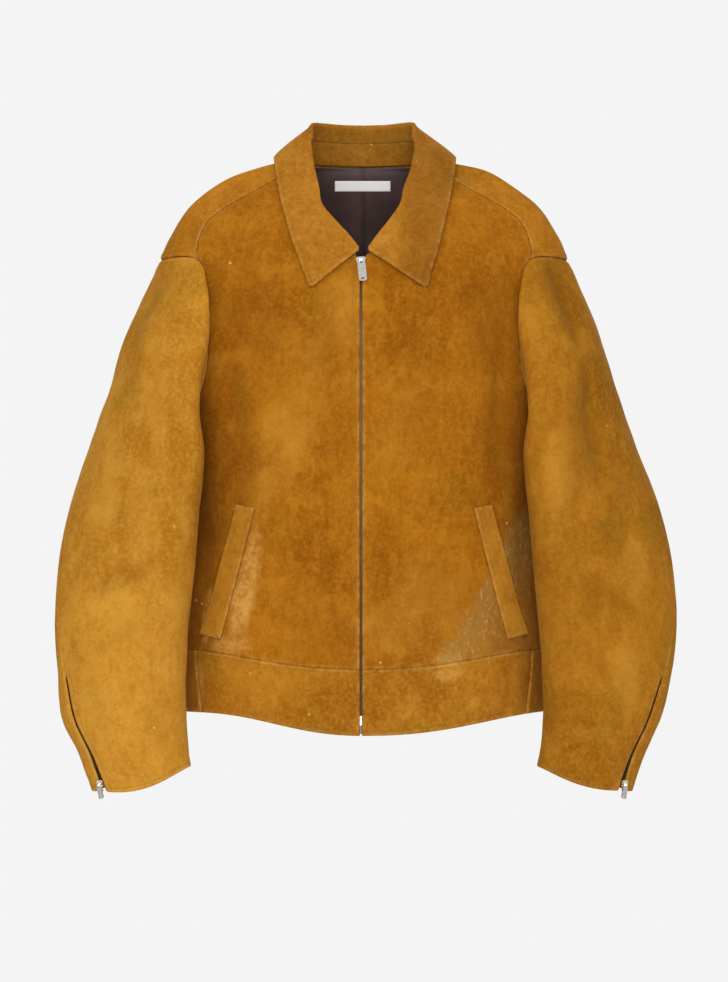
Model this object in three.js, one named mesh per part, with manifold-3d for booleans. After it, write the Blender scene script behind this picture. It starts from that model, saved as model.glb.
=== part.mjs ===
// A suede zip jacket with a turned-down collar, slanted welt pockets, a waistband and zipped cuffs.
// It is filled out as if worn, so every piece is a thin wall round an empty hollow.
// Millimetres. X runs to the viewer's right, Y to the back and Z up. The origin is in the middle
// of the neck, just below the seam of the collar at the back.
import * as THREE from 'three';
import { mergeVertices } from 'three/addons/utils/BufferGeometryUtils.js';
import Module from 'manifold-3d';

const wasm = await Module();
wasm.setup();

// Walls, seams and edges
const suedeWall = 2;
const liningWall = 1.2;
const tapeWall = 1;
const labelWall = 0.6;
const seamGap = 0.3;
const liningClearance = 3;
const liningSeat = 0.45;
const labelSeat = 0.5;
const layerClearance = 0.7;

// Front zip
const zipX = -3.4;
const zipTop = -97;
const frontEdgeGap = 2.4;
const tapeWidth = 13;

// Cuff zips
const cuffZipLength = 136;
const cuffSlit = 3;
const cuffTapeWidth = 10;
const cuffTapeClearance = 2.8;

// Heights of the seams that run round the body
const waistSeam = { side: -535, front: -557, back: -548 };
const hem = { side: -605, front: -630, back: -618 };
const underarm = -282;

// How many pieces of wall run round and along each panel
const armholeStep = 15;
const seamTurn = 45;
const sideRows = 7;
const levelRows = 8;
const frontColumns = 12;
const backColumns = 10;
const sleeveRows = 15;

const colours = {
  suedeFront: 0xa8661a,
  suedeSleeve: 0xb07a2c,
  suedeBand: 0xa26a20,
  suedeCollar: 0xaa6f24,
  lining: 0x34211f,
  label: 0xf4f2ee,
  tape: 0x3a2a1e,
  metal: 0xd4d2cc,
};

function table(columns, ...rows) {
  return rows.map((row) => Object.fromEntries(columns.map((name, i) => [name, row[i]])));
}

// Rings round the body: half its width, the middle in depth, how far it reaches to the front and
// to the back of that middle, and the power of its superellipse.
const rings = table(
  ['z', 'half', 'mid', 'front', 'back', 'power'],
  [-640, 206, 4, 104, 96, 2.3],
  [-560, 205, 4, 109, 101, 2.3],
  [-480, 201, 4, 114, 109, 2.2],
  [-400, 198, 4, 117, 115, 2.2],
  [-330, 201, 4, 118, 118, 2.2],
  [-278, 208, 4, 117, 120, 2.2],
  [-200, 219, 4, 113, 118, 2.2],
  [-140, 226, 3, 105, 113, 2.2],
  [-97, 228, 3, 93, 106, 2.2],
  [-60, 207, 4, 76, 97, 2.2],
  [-33, 187, 5, 52, 87, 2.2],
  [-9, 152, 7, 24, 76, 2.2],
  [3, 125, 9, 13, 70, 2.2],
  [10.5, 99, 12, 5, 66, 2.2],
  [14, 86, 14, 2, 62, 2.2],
  [20, 60, 16, 1, 55, 2.2],
);

// The armhole, from the shoulder (0 degrees) down its front to the underarm (180 degrees). Turn is
// the direction on the body, from 0 at the centre front to 90 at the side. The back half is alike.
const armholeRows = table(
  ['around', 'turn', 'z'],
  [0, 90, -97],
  [20, 68, -94],
  [40, 55.5, -95],
  [55, 49.5, -103],
  [70, 47.3, -122],
  [90, 46.8, -155],
  [110, 47.5, -190],
  [130, 51, -225],
  [150, 59, -256],
  [165, 70, -274],
  [180, 90, underarm],
);

// The neck seam, from the centre back (0) to the centre front (1).
const neckRows = table(
  ['along', 'turn', 'z'],
  [0, 180, 6],
  [0.2, 150, 8],
  [0.35, 120, 11],
  [0.45, 90, 14],
  [0.53, 44.5, 6],
  [0.62, 27, -9],
  [0.72, 16, -33],
  [0.82, 10.7, -56],
  [0.91, 5.5, -76],
  [1, 0.8, -94],
);
const neckSide = 0.565;

// The forward shoulder seam between its ends at the neck and at the armhole.
const shoulderSeam = table(
  ['turn', 'z'],
  [39.5, -10],
  [45, -26],
  [52, -42],
  [56.5, -60],
);

// The collar from the centre back (0) to its front end (1): the roll where it turns over, and the
// outer edge of the fall. The two sides differ a little in width.
const collarRows = table(
  ['along', 'rollLeft', 'rollRight', 'rollY', 'rollZ', 'edgeLeft', 'edgeRight', 'edgeY', 'edgeZ', 'radius'],
  [0, 0, 0, 66, 50.5, 0, 0, 92, -10, 4.2],
  [0.1, 24, 23, 62, 51.5, 38, 38, 89, -8, 4.2],
  [0.2, 44, 43, 50, 53, 75, 76, 79, -1, 4.2],
  [0.3, 56, 55, 34, 52.5, 97, 99, 54, 10, 4.2],
  [0.4, 59.5, 56.5, 18, 44, 100.5, 102.5, 20, 16, 4.2],
  [0.5, 59, 56, 2, 27, 99.5, 102, -5, 8, 4.1],
  [0.6, 56, 52, -17, 6, 97.5, 100, -27, -14, 3.9],
  [0.7, 50.5, 44, -38, -17, 92, 95, -53, -38, 3.6],
  [0.78, 47, 40, -57, -35, 86, 90, -74, -60, 3.3],
  [0.86, 32, 28, -74.5, -54, 78, 83.5, -89, -86, 3],
  [0.93, 17, 15, -84, -71, 70.5, 78.5, -96, -107, 2.8],
  [1, 5.5, 4.5, -90.5, -86, 63.5, 73.5, -103, -128, 2.6],
);
const standShare = 0.58;
const standClearance = 0.8;
const standShort = 9;
const fallBulge = 5;

// Sections down the sleeve, from the outer point to the inner one, each with its place in depth.
// Deep is half of the section's size from front to back, and clear is how far its back inner side
// stands off to pass the body. Reach is how far its front inner side bulges over the armhole. The
// right sleeve's outer edge is shifted.
const sleeveSections = table(
  ['down', 'outX', 'outY', 'outZ', 'inX', 'inY', 'inZ', 'deep', 'clear', 'reach', 'rightShift'],
  [75, 261, 8, -172, 188, -56, -306, 82, 58, 30, -4],
  [145, 283, 2, -240, 184, -66, -346, 76, 48, 25, -5],
  [215, 305, -6, -306, 184, -74, -382, 70, 40, 17, -3],
  [283, 326, -16, -372, 187, -78, -414, 65, 30, 10, 0],
  [342, 338, -26, -430, 190, -80, -452, 61, 20, 6, 2],
  [407, 343, -36, -495, 195, -80, -500, 56, 10, 3, 4],
  [462, 342, -42, -550, 198, -78, -550, 50, 5, 0, 2],
  [522, 336, -48, -610, 199, -77, -602, 42, 3, 0, -6],
  [570, 319, -54, -654, 198, -76, -640, 34, 0, 0, -6],
  [613, 303.5, -58, -695.5, 196, -74, -665, 26, 0, 0, -4],
);
const sleevePower = 2.15;
const stubLength = 14;
const sleeveLength = 613;

// How the sleeve leaves the armhole: at its top, underarm, front and back.
const stub = {
  top: new THREE.Vector3(6.5, 0, -12.5),
  under: new THREE.Vector3(14, -3, -5),
  front: new THREE.Vector3(-3, -14, -3),
  back: new THREE.Vector3(3, 11, -5),
};

// The seams of the sleeve, in degrees round it (0 at the outer edge, 90 at the front).
const backSeam = table(
  ['down', 'around'],
  [0, -60],
  [145, -46],
  [250, -20],
  [342, 8],
  [407, 20],
  [462, 29],
  [500, 36],
  [560, 41],
  [sleeveLength, 42],
);
const innerSeam = table(['down', 'around'], [0, 150], [300, 180], [sleeveLength, 215]);

// Soft folds of the sleeves, each from one place to another: degrees round it, distance down it,
// its width in degrees and how far it stands out.
const foldColumns = ['around0', 'down0', 'around1', 'down1', 'width', 'out'];
const sleeveFolds = {
  left: table(
    foldColumns,
    [12, 5, 38, 110, 14, -6],
    [60, 90, 40, 300, 20, 3],
    [110, 330, 60, 390, 13, -4],
    [125, 400, 70, 450, 12, -3],
    [290, 120, 250, 330, 16, -6],
    [250, 330, 320, 420, 15, -6],
    [240, 420, 300, 500, 14, -5],
  ),
  right: table(
    foldColumns,
    [15, 0, 56, 80, 11, -8],
    [56, 80, 76, 250, 10, -8],
    [92, 60, 96, 300, 14, 4],
    [120, 340, 60, 410, 13, -4],
    [130, 430, 80, 480, 12, -3],
    [295, 100, 245, 300, 16, -6],
    [240, 310, 310, 400, 15, -6],
    [250, 430, 310, 510, 14, -5],
  ),
};

// Soft folds of the body: across and height of both ends, half its width and how far it stands out.
const bodyFoldColumns = ['x0', 'z0', 'x1', 'z1', 'width', 'out'];
const frontFolds = table(
  bodyFoldColumns,
  [-158, -130, -140, -330, 15, -5],
  [-118, -200, -100, -480, 24, 3],
  [-60, -300, -48, -540, 20, -2.5],
  [-186, -330, -176, -500, 14, -4],
  [160, -120, 146, -340, 15, -5],
  [120, -220, 108, -500, 24, 3],
  [58, -260, 44, -530, 20, -2.5],
  [188, -340, 178, -500, 14, -4],
);
const backFolds = table(
  bodyFoldColumns,
  [-142, -210, -118, -420, 20, -4.5],
  [-95, -240, -80, -540, 22, -5],
  [-30, -200, -22, -520, 20, 4],
  [34, -280, 40, -540, 20, -4],
  [92, -180, 84, -530, 22, 5],
  [140, -220, 124, -440, 20, -4.5],
  [-168, -380, -160, -540, 14, -5],
  [165, -400, 155, -540, 14, 5],
);

// Corners of the right welt on the front: its opening is the outer edge.
const welt = {
  innerTop: [120.5, -376],
  outerTop: [141.5, -372],
  innerEnd: [159.5, -523],
  outerEnd: [182.5, -517.5],
};
const weltRows = 7;

const label = { left: -33.5, right: 30.5, top: -9.5, bottom: -20.7 };
const labelColumns = 6;

// A smooth value at a place between the knots, whose slopes come from their neighbours.
function smooth(knots, values, at) {
  const last = knots.length - 1;
  let i = 0;
  while (i < last - 1 && at > knots[i + 1]) i += 1;
  const slope = (k) => {
    const a = Math.max(k - 1, 0);
    const b = Math.min(k + 1, last);
    return (values[b] - values[a]) / (knots[b] - knots[a]);
  };
  const step = knots[i + 1] - knots[i];
  const t = (at - knots[i]) / step;
  const start = (1 + 2 * t) * (1 - t) ** 2 * values[i] + t * (1 - t) ** 2 * step * slope(i);
  const end = t * t * (3 - 2 * t) * values[i + 1] + t * t * (t - 1) * step * slope(i + 1);
  return start + end;
}

function read(rows, key, at, column) {
  return smooth(rows.map((row) => row[key]), rows.map((row) => row[column]), at);
}

const radians = THREE.MathUtils.degToRad;
const degrees = THREE.MathUtils.radToDeg;
const mix = THREE.MathUtils.lerp;
const span = (count) => Array.from({ length: count + 1 }, (_, i) => i / count);
const sharp = (value, power) => Math.sign(value) * Math.abs(value) ** (2 / power);

// How far soft folds move a place, where each is a bell across its line that fades at both ends.
function foldHeight(folds, across, along, keys) {
  let height = 0;
  for (const fold of folds) {
    const t = (along - fold[keys.along0]) / (fold[keys.along1] - fold[keys.along0]);
    if (t <= 0 || t >= 1) continue;
    const off = (across - mix(fold[keys.across0], fold[keys.across1], t)) / fold.width;
    height += fold.out * Math.exp(-off * off) * Math.sin(Math.PI * t) ** 0.7;
  }
  return height;
}

// Points of the body

function bodyBase(turn, z) {
  const ring = Object.fromEntries(
    ['half', 'mid', 'front', 'back', 'power'].map((name) => [name, read(rings, 'z', z, name)]),
  );
  const across = Math.sin(radians(turn));
  const ahead = Math.cos(radians(turn));
  const reach = ahead > 0 ? -ring.front : ring.back;
  const depth = reach * Math.abs(sharp(ahead, ring.power));
  return new THREE.Vector3(ring.half * sharp(across, ring.power), ring.mid + depth, z);
}

function normalAt(place, u, v, stepU, stepV) {
  const alongU = place(u + stepU, v).sub(place(u - stepU, v));
  const alongV = place(u, v + stepV).sub(place(u, v - stepV));
  return alongU.cross(alongV).normalize();
}

function bodyPoint(turn, z, lift = 0) {
  const point = bodyBase(turn, z);
  const folds = Math.cos(radians(turn)) > 0 ? frontFolds : backFolds;
  const keys = { along0: 'z0', along1: 'z1', across0: 'x0', across1: 'x1' };
  const fade = Math.min(1, 2.5 * Math.abs(Math.cos(radians(turn))));
  const out = fade * foldHeight(folds, point.x, z, keys) + lift;
  return point.addScaledVector(normalAt(bodyBase, turn, z, 0.5, 0.5), out);
}

// The direction on the body's front of a place that is given by its width and height.
function turnAt(x, z) {
  const share = Math.min(Math.abs(x) / read(rings, 'z', z, 'half'), 1);
  return Math.sign(x) * degrees(Math.asin(share ** (read(rings, 'z', z, 'power') / 2)));
}

function armholeAt(around) {
  const onFront = ((around % 360) + 360) % 360;
  const back = onFront > 180;
  const place = back ? 360 - onFront : onFront;
  const turn = read(armholeRows, 'around', place, 'turn');
  return { turn: back ? 180 - turn : turn, z: read(armholeRows, 'around', place, 'z') };
}

function neckAt(along) {
  return { turn: read(neckRows, 'along', along, 'turn'), z: read(neckRows, 'along', along, 'z') };
}

function level(heights, turn) {
  const ahead = Math.cos(radians(turn));
  const middle = ahead > 0 ? heights.front : heights.back;
  return mix(heights.side, middle, ahead * ahead);
}

// A grid of places on the body between four edges that share their corners.
function patch(bottom, top, left, right) {
  const across = span(bottom.length - 1);
  const up = span(left.length - 1);
  const last = { i: bottom.length - 1, j: left.length - 1 };
  return up.map((v, j) =>
    across.map((u, i) => {
      const blend = (key) =>
        mix(left[j][key], right[j][key], u) + mix(bottom[i][key], top[i][key], v) -
        mix(mix(bottom[0][key], bottom[last.i][key], u), mix(top[0][key], top[last.i][key], u), v);
      return { turn: blend('turn'), z: blend('z') };
    }),
  );
}

const onBody = (grid, side, lift = 0) =>
  grid.map((row) => row.map(({ turn, z }) => bodyPoint(side * turn, z, lift)));

// Walls of cloth

// Draws a grid's edges in by half of the seam's gap, or by another amount on one edge. The left and
// right edges may have an amount for each row.
const halfGap = { first: seamGap / 2, last: seamGap / 2, left: seamGap / 2, right: seamGap / 2 };

function trimmed(grid, edges = {}) {
  const { first, last, left, right } = { ...halfGap, ...edges };
  const rows = grid.length - 1;
  const columns = grid[0].length - 1;
  const towards = (from, to, by) => to.clone().sub(from).setLength(by).add(from);
  const out = grid.map((row) => row.map((point) => point.clone()));
  const amount = (by, j) => (Array.isArray(by) ? by[j] : by);
  for (let j = 0; j <= rows; j += 1) {
    out[j][0] = towards(out[j][0], out[j][1], amount(left, j));
    out[j][columns] = towards(out[j][columns], out[j][columns - 1], amount(right, j));
  }
  for (let i = 0; i <= columns; i += 1) {
    out[0][i] = towards(out[0][i], out[1][i], first);
    out[rows][i] = towards(out[rows][i], out[rows - 1][i], last);
  }
  return out;
}

// A closed wall between two grids of points that have the same rows and columns.
function wallBetween(outer, inner) {
  const rows = outer.length;
  const columns = outer[0].length;
  const at = (layer, j, i) => layer * rows * columns + j * columns + i;
  const faces = [];
  const quad = (a, b, c, d) => faces.push(a, b, c, a, c, d);
  for (let j = 0; j < rows - 1; j += 1)
    for (let i = 0; i < columns - 1; i += 1) {
      quad(at(0, j, i), at(0, j, i + 1), at(0, j + 1, i + 1), at(0, j + 1, i));
      quad(at(1, j, i), at(1, j + 1, i), at(1, j + 1, i + 1), at(1, j, i + 1));
    }
  for (let i = 0; i < columns - 1; i += 1) {
    quad(at(0, 0, i), at(1, 0, i), at(1, 0, i + 1), at(0, 0, i + 1));
    quad(at(0, rows - 1, i), at(0, rows - 1, i + 1), at(1, rows - 1, i + 1), at(1, rows - 1, i));
  }
  for (let j = 0; j < rows - 1; j += 1) {
    const end = columns - 1;
    quad(at(0, j, 0), at(0, j + 1, 0), at(1, j + 1, 0), at(1, j, 0));
    quad(at(0, j, end), at(1, j, end), at(1, j + 1, end), at(0, j + 1, end));
  }
  const points = [...outer.flat(), ...inner.flat()];
  let volume = 0;
  for (let k = 0; k < faces.length; k += 3) {
    const [a, b, c] = [points[faces[k]], points[faces[k + 1]], points[faces[k + 2]]];
    volume += a.dot(b.clone().cross(c));
  }
  if (volume < 0) faces.reverse();
  const geometry = new THREE.BufferGeometry().setFromPoints(points);
  geometry.setIndex(faces);
  geometry.computeVertexNormals();
  return geometry;
}

// The grid of a wall's far side, which lies behind the one that is given.
function behind(grid, thickness) {
  const rows = grid.length - 1;
  const columns = grid[0].length - 1;
  return grid.map((row, j) => row.map((point, i) => {
    const ahead = row[Math.min(i + 1, columns)].clone().sub(row[Math.max(i - 1, 0)]);
    const up = grid[Math.min(j + 1, rows)][i].clone().sub(grid[Math.max(j - 1, 0)][i]);
    return point.clone().addScaledVector(ahead.cross(up).normalize(), -thickness);
  }));
}

const group = new THREE.Group();

function add(name, geometry, color, roughness = 0.95, metalness = 0) {
  const mesh = new THREE.Mesh(geometry, new THREE.MeshStandardMaterial({ color, roughness, metalness }));
  mesh.name = name;
  group.add(mesh);
  return mesh;
}

// Edges of the body's panels

const along = (from, to, count) => span(count).map((t) => mix(from, to, t));
const sideSeam = span(sideRows).map((t) => ({ turn: 90, z: mix(waistSeam.side, underarm, t) }));
const shoulderLine = [armholeAt(seamTurn), ...[...shoulderSeam].reverse(), neckAt(neckSide)];
const armholeFront = along(180, seamTurn, (180 - seamTurn) / armholeStep).map(armholeAt);
const armholeBack = along(-180, seamTurn, (180 + seamTurn) / armholeStep).map(armholeAt);

const frontOuter = [...sideSeam, ...armholeFront.slice(1), ...shoulderLine.slice(1)];
const backOuter = [...sideSeam, ...armholeBack.slice(1), ...shoulderLine.slice(1)];

// Heights of the rows at the front edge: level with the side seam, then even steps to the neck.
const frontHeights = [
  ...span(sideRows).map((t) => mix(waistSeam.front, underarm, t)),
  ...along(underarm, neckAt(1).z, frontOuter.length - 1 - sideRows).slice(1),
];

function frontGrid(side) {
  const edgeX = zipX + (side * frontEdgeGap) / 2;
  const edgeTurn = (z) => side * turnAt(edgeX, z);
  const left = frontHeights.map((z) => ({ turn: edgeTurn(z), z }));
  const bottom = span(frontColumns).map((u) => {
    const turn = mix(left[0].turn, 90, u);
    return { turn, z: level(waistSeam, turn) };
  });
  bottom[0] = left[0];
  const top = along(1, neckSide, frontColumns).map(neckAt);
  top[0] = left[left.length - 1];
  return patch(bottom, top, left, frontOuter);
}

// Rows at the centre back are level with the side seam and the back of the armhole, up to where the
// armhole turns over the shoulder, and then take even steps to the neck.
function backHeights() {
  const low = span(sideRows).map((t) => mix(waistSeam.back, underarm, t));
  const beside = armholeBack.slice(1, levelRows + 1).map(({ z }) => z);
  const count = backOuter.length - low.length - beside.length;
  return [...low, ...beside, ...along(beside[levelRows - 1], neckAt(0).z, count).slice(1)];
}

function backGrid() {
  const left = backHeights().map((z) => ({ turn: 180, z }));
  const bottom = along(180, 90, backColumns).map((turn) => ({ turn, z: level(waistSeam, turn) }));
  const top = along(0, neckSide, backColumns).map(neckAt);
  return patch(bottom, top, left, backOuter);
}

// Two halves that start at the centre back, joined there.
const joined = (right, left) => right.map((row, j) => [...left[j].slice(1).reverse(), ...row]);
const bothSides = (grid, lift = 0) => joined(onBody(grid, 1, lift), onBody(grid, -1, lift));

for (const [name, side] of [['left', -1], ['right', 1]]) {
  const grid = frontGrid(side);
  const layer = (lift) => trimmed(onBody(grid, side, lift), { left: 0 });
  add(`front_${name}`, wallBetween(layer(0), layer(-suedeWall)), colours.suedeFront);
}
const backPlaces = backGrid();
const backLayer = (lift) => trimmed(bothSides(backPlaces, lift));
add('back', wallBetween(backLayer(0), backLayer(-suedeWall)), colours.suedeFront);

// Waistband

const bandJoin = { top: 66, bottom: 60 };
const bandRows = span(2);

function bandGrid(turns) {
  return bandRows.map((v) =>
    turns(v).map((turn) => ({ turn, z: mix(level(waistSeam, turn), level(hem, turn), v) })),
  );
}

for (const [name, side] of [['left', -1], ['right', 1]]) {
  const grid = bandGrid((v) => {
    const z = mix(waistSeam.front, hem.front, v);
    const edge = side * turnAt(zipX + (side * frontEdgeGap) / 2, z);
    return along(edge, mix(bandJoin.top, bandJoin.bottom, v), 8);
  });
  const layer = (lift) => trimmed(onBody(grid, side, lift), { left: 0, last: 0 });
  add(`waistband_${name}`, wallBetween(layer(0), layer(-suedeWall)), colours.suedeBand);
}
const bandBack = bandGrid((v) => along(180, mix(bandJoin.top, bandJoin.bottom, v), 12));
const bandLayer = (lift) => trimmed(bothSides(bandBack, lift), { last: 0 });
add('waistband_back', wallBetween(bandLayer(0), bandLayer(-suedeWall)), colours.suedeBand);

// Sleeves

function sleeveSection(row, around, side) {
  const outX = row.outX + (side > 0 ? row.rightShift : 0);
  const across = sharp(Math.cos(radians(around)), sleevePower);
  const ahead = sharp(Math.sin(radians(around)), sleevePower);
  const t = (1 - across) / 2;
  return new THREE.Vector3(
    mix(outX, row.inX, t) + t * (row.clear * Math.max(-ahead, 0) - row.reach * Math.max(ahead, 0)),
    mix(row.outY, row.inY, t) - row.deep * ahead,
    mix(row.outZ, row.inZ, t),
  );
}

function stubPoint(around, side) {
  const seam = armholeAt(around);
  const point = bodyPoint(side * seam.turn, seam.z);
  point.x *= side;
  const across = Math.cos(radians(around));
  const ahead = Math.sin(radians(around));
  point.addScaledVector(across > 0 ? stub.top : stub.under, across * across);
  return point.addScaledVector(ahead > 0 ? stub.front : stub.back, ahead * ahead);
}

function sleeveBase(side, around, down) {
  const seam = armholeAt(around);
  const start = bodyPoint(side * seam.turn, seam.z);
  start.x *= side;
  const sections = sleeveSections.map((row) => sleeveSection(row, around, side));
  const points = [start, stubPoint(around, side), ...sections];
  const knots = [0, stubLength, ...sleeveSections.map((row) => row.down)];
  const at = (axis) => smooth(knots, points.map((point) => point[axis]), down);
  return new THREE.Vector3(side * at('x'), at('y'), at('z'));
}

function sleevePoint(side, around, down, lift = 0) {
  const folds = sleeveFolds[side > 0 ? 'right' : 'left'];
  const keys = { along0: 'down0', along1: 'down1', across0: 'around0', across1: 'around1' };
  const full = ((around % 360) + 360) % 360;
  const out = foldHeight(folds, full, down, keys) + lift;
  const point = sleeveBase(side, around, down);
  if (out === 0) return point;
  const normal = normalAt((a, d) => sleeveBase(side, a, d), around, Math.max(down, 1), 1, 1);
  return point.addScaledVector(normal, side * out);
}

const sleeveDowns = [seamGap, stubLength / 2, stubLength, 30, 50];
sleeveDowns.push(...along(75, sleeveLength, sleeveRows - sleeveDowns.length));

// The open seam over each cuff's zip
const slit = sleeveDowns.map((down) => (down > sleeveLength - cuffZipLength ? cuffSlit / 2 : seamGap / 2));

function sleeveWall(side, from, to, columns, opening) {
  const layer = (lift) => {
    const grid = sleeveDowns.map((down) =>
      along(from(down), to(down), columns).map((around) => sleevePoint(side, around, down, lift)),
    );
    return trimmed(grid, { first: 0, last: 0, [opening]: slit });
  };
  return wallBetween(layer(0), layer(-suedeWall));
}

const backSeamAt = (down) => read(backSeam, 'down', down, 'around');
const innerSeamAt = (down) => read(innerSeam, 'down', down, 'around');

for (const [name, side] of [['left', -1], ['right', 1]]) {
  const top = sleeveWall(side, backSeamAt, innerSeamAt, (150 + 60) / armholeStep, 'left');
  const fullTurn = (down) => backSeamAt(down) + 360;
  const under = sleeveWall(side, innerSeamAt, fullTurn, (360 - 210) / armholeStep, 'right');
  add(`sleeve_top_${name}`, top, colours.suedeSleeve);
  add(`sleeve_under_${name}`, under, colours.suedeSleeve);
}

// Collar: a stand band in the neck, and the collar that starts on it, rolls over and falls outside

const collarAlong = [...along(0, neckSide, backColumns), ...along(neckSide, 1, frontColumns).slice(1)];

// The points of the collar's section at one place along the neck seam.
function collarSection(place, side) {
  const at = (column) => read(collarRows, 'along', place, column);
  const name = side > 0 ? 'Right' : 'Left';
  const seam = neckAt(place);
  const normal = normalAt(bodyBase, side * seam.turn, seam.z, 0.5, 0.5);
  const out = normal.clone().setZ(0).normalize();
  const foot = bodyPoint(side * seam.turn, seam.z).addScaledVector(out, -suedeWall * (1 - normal.z));
  foot.z += standClearance;
  const roll = new THREE.Vector3(side * at(`roll${name}`), at('rollY'), at('rollZ'));
  const edge = new THREE.Vector3(side * at(`edge${name}`), at('edgeY'), at('edgeZ'));
  const radius = at('radius');
  const rollIn = roll.clone().addScaledVector(out, -radius * 0.9);
  const rollOut = roll.clone().addScaledVector(out, radius);
  rollIn.z -= radius * 0.8;
  rollOut.z -= radius * 0.9;
  return { foot, roll, edge, out, rollIn, rollOut };
}

function standPoints({ foot, rollIn }) {
  return [0, 0.5, 1].map((t) => foot.clone().lerp(rollIn, t * standShare));
}

function collarPoints({ foot, roll, edge, out, rollIn, rollOut }) {
  const start = foot.clone().lerp(rollIn, standShare);
  const gap = seamGap / start.distanceTo(rollIn);
  const inside = [gap, 0.55].map((t) => start.clone().lerp(rollIn, t));
  const fall = [0.25, 0.5, 0.75, 1].map((t) =>
    rollOut.clone().lerp(edge, t).addScaledVector(out, fallBulge * Math.sin(Math.PI * t)),
  );
  return [...inside, rollIn, roll, rollOut, ...fall];
}

function roundNeck(pointsOf) {
  const right = collarAlong.map((place) => pointsOf(collarSection(place, 1)));
  const left = collarAlong.map((place) => pointsOf(collarSection(place, -1)));
  const sections = [...left.slice(1).reverse(), ...right];
  return sections[0].map((_, j) => sections.map((section) => section[j]));
}

const standGrid = trimmed(roundNeck(standPoints), { first: 0, last: 0, left: standShort, right: standShort });
const collarGrid = roundNeck(collarPoints);
add('collar_stand', wallBetween(standGrid, behind(standGrid, suedeWall)), colours.suedeCollar);
add('collar', wallBetween(collarGrid, behind(collarGrid, suedeWall)), colours.suedeCollar);

// Lining of the back, sewn in at the neck seam, with the label on it

const liningEdge = [
  [97, -530], [98, -470], [100, -410], [105, -350], [118, -300], [138, -272], [145, -245], [148, -205],
  [148, -160], [145, -120], [136, -80], [123, -40], [111, -10], [104, 8],
].map(([turn, z]) => ({ turn, z }));
const liningColumns = 7;

function liningGrid() {
  const neckShare = (neckSide * liningColumns) / backColumns;
  const top = along(0, neckShare, liningColumns).map(neckAt).map(({ turn, z }) => ({ turn, z: z - 1.5 }));
  top[liningColumns] = liningEdge[liningEdge.length - 1];
  const start = liningEdge[0];
  const bottom = along(180, start.turn, liningColumns).map((turn) => ({ turn, z: start.z }));
  const left = span(liningEdge.length - 1).map((t) => ({ turn: 180, z: mix(start.z, top[0].z, t) }));
  return patch(bottom, top, left, liningEdge);
}

const liningPlaces = liningGrid();

function liningHalf(side, lift) {
  return liningPlaces.map((row, j) =>
    row.map(({ turn, z }, i) => {
      const seated = j === liningPlaces.length - 1 && i < liningColumns - 1;
      return bodyPoint(side * turn, z, lift - suedeWall - (seated ? liningSeat : liningClearance));
    }),
  );
}
const liningLayer = (lift) => joined(liningHalf(1, lift), liningHalf(-1, lift));
add('lining', wallBetween(liningLayer(0), liningLayer(-liningWall)), colours.lining);

// The label's points, on the strip of lining between its seam and the next row of places
function labelLayer(lift) {
  const [next, top] = liningPlaces.slice(-2).map((row) => row[0].z);
  return [label.bottom, label.top].map((z) =>
    along(label.left, label.right, labelColumns).map((x) => {
      const clearance = mix(liningSeat, liningClearance, (top - z) / (top - next));
      return bodyPoint(180 - turnAt(x, z), z, lift - suedeWall - clearance - liningWall);
    }),
  );
}
const labelWalls = [-labelSeat, -labelSeat - labelWall].map(labelLayer);
add('neck_label', wallBetween(...labelWalls), colours.label);

// Pocket welts

for (const [name, side] of [['left', -1], ['right', 1]]) {
  const grid = span(weltRows).map((v) =>
    along(0, 1, 2).map((u) => {
      const [x, z] = [0, 1].map((axis) => {
        const top = mix(welt.innerTop[axis], welt.outerTop[axis], u);
        return mix(top, mix(welt.innerEnd[axis], welt.outerEnd[axis], u), v);
      });
      return { turn: turnAt(x, z), z };
    }),
  );
  const layer = (lift) => onBody(grid, side, lift);
  const wall = wallBetween(layer(layerClearance + suedeWall), layer(layerClearance));
  add(`welt_${name}`, wall, colours.suedeBand);
}

// Front zip: a tape behind each front's edge

const tapeHeights = [hem.front + 2, mix(waistSeam.front, hem.front, 0.5), ...frontHeights]
  .filter((z) => z < zipTop - 4).concat(zipTop);

for (const [name, side] of [['left', -1], ['right', 1]]) {
  const grid = tapeHeights.map((z) =>
    [0.25, tapeWidth].map((off) => ({ turn: turnAt(zipX + side * off, z), z })),
  );
  const lift = -(suedeWall + layerClearance);
  const layer = (by) => onBody(grid, 1, by);
  add(`zip_tape_${name}`, wallBetween(layer(lift), layer(lift - tapeWall)), colours.tape);
}

// Sliders and pull tabs

function solidOf(geometry) {
  const bare = geometry.index ? geometry.toNonIndexed() : geometry.clone();
  bare.deleteAttribute('normal');
  bare.deleteAttribute('uv');
  const merged = mergeVertices(bare, 1e-4);
  return new wasm.Manifold(new wasm.Mesh({
    numProp: 3,
    vertProperties: merged.attributes.position.array,
    triVerts: new Uint32Array(merged.index.array),
  }));
}

function geometryOf(solid) {
  const { vertProperties, triVerts } = solid.getMesh();
  const geometry = new THREE.BufferGeometry();
  geometry.setAttribute('position', new THREE.Float32BufferAttribute(vertProperties, 3));
  geometry.setIndex([...triVerts]);
  geometry.computeVertexNormals();
  return geometry;
}

function extrude(shape, depth) {
  return new THREE.ExtrudeGeometry(shape, { depth, bevelEnabled: false, curveSegments: 6 });
}

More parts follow.
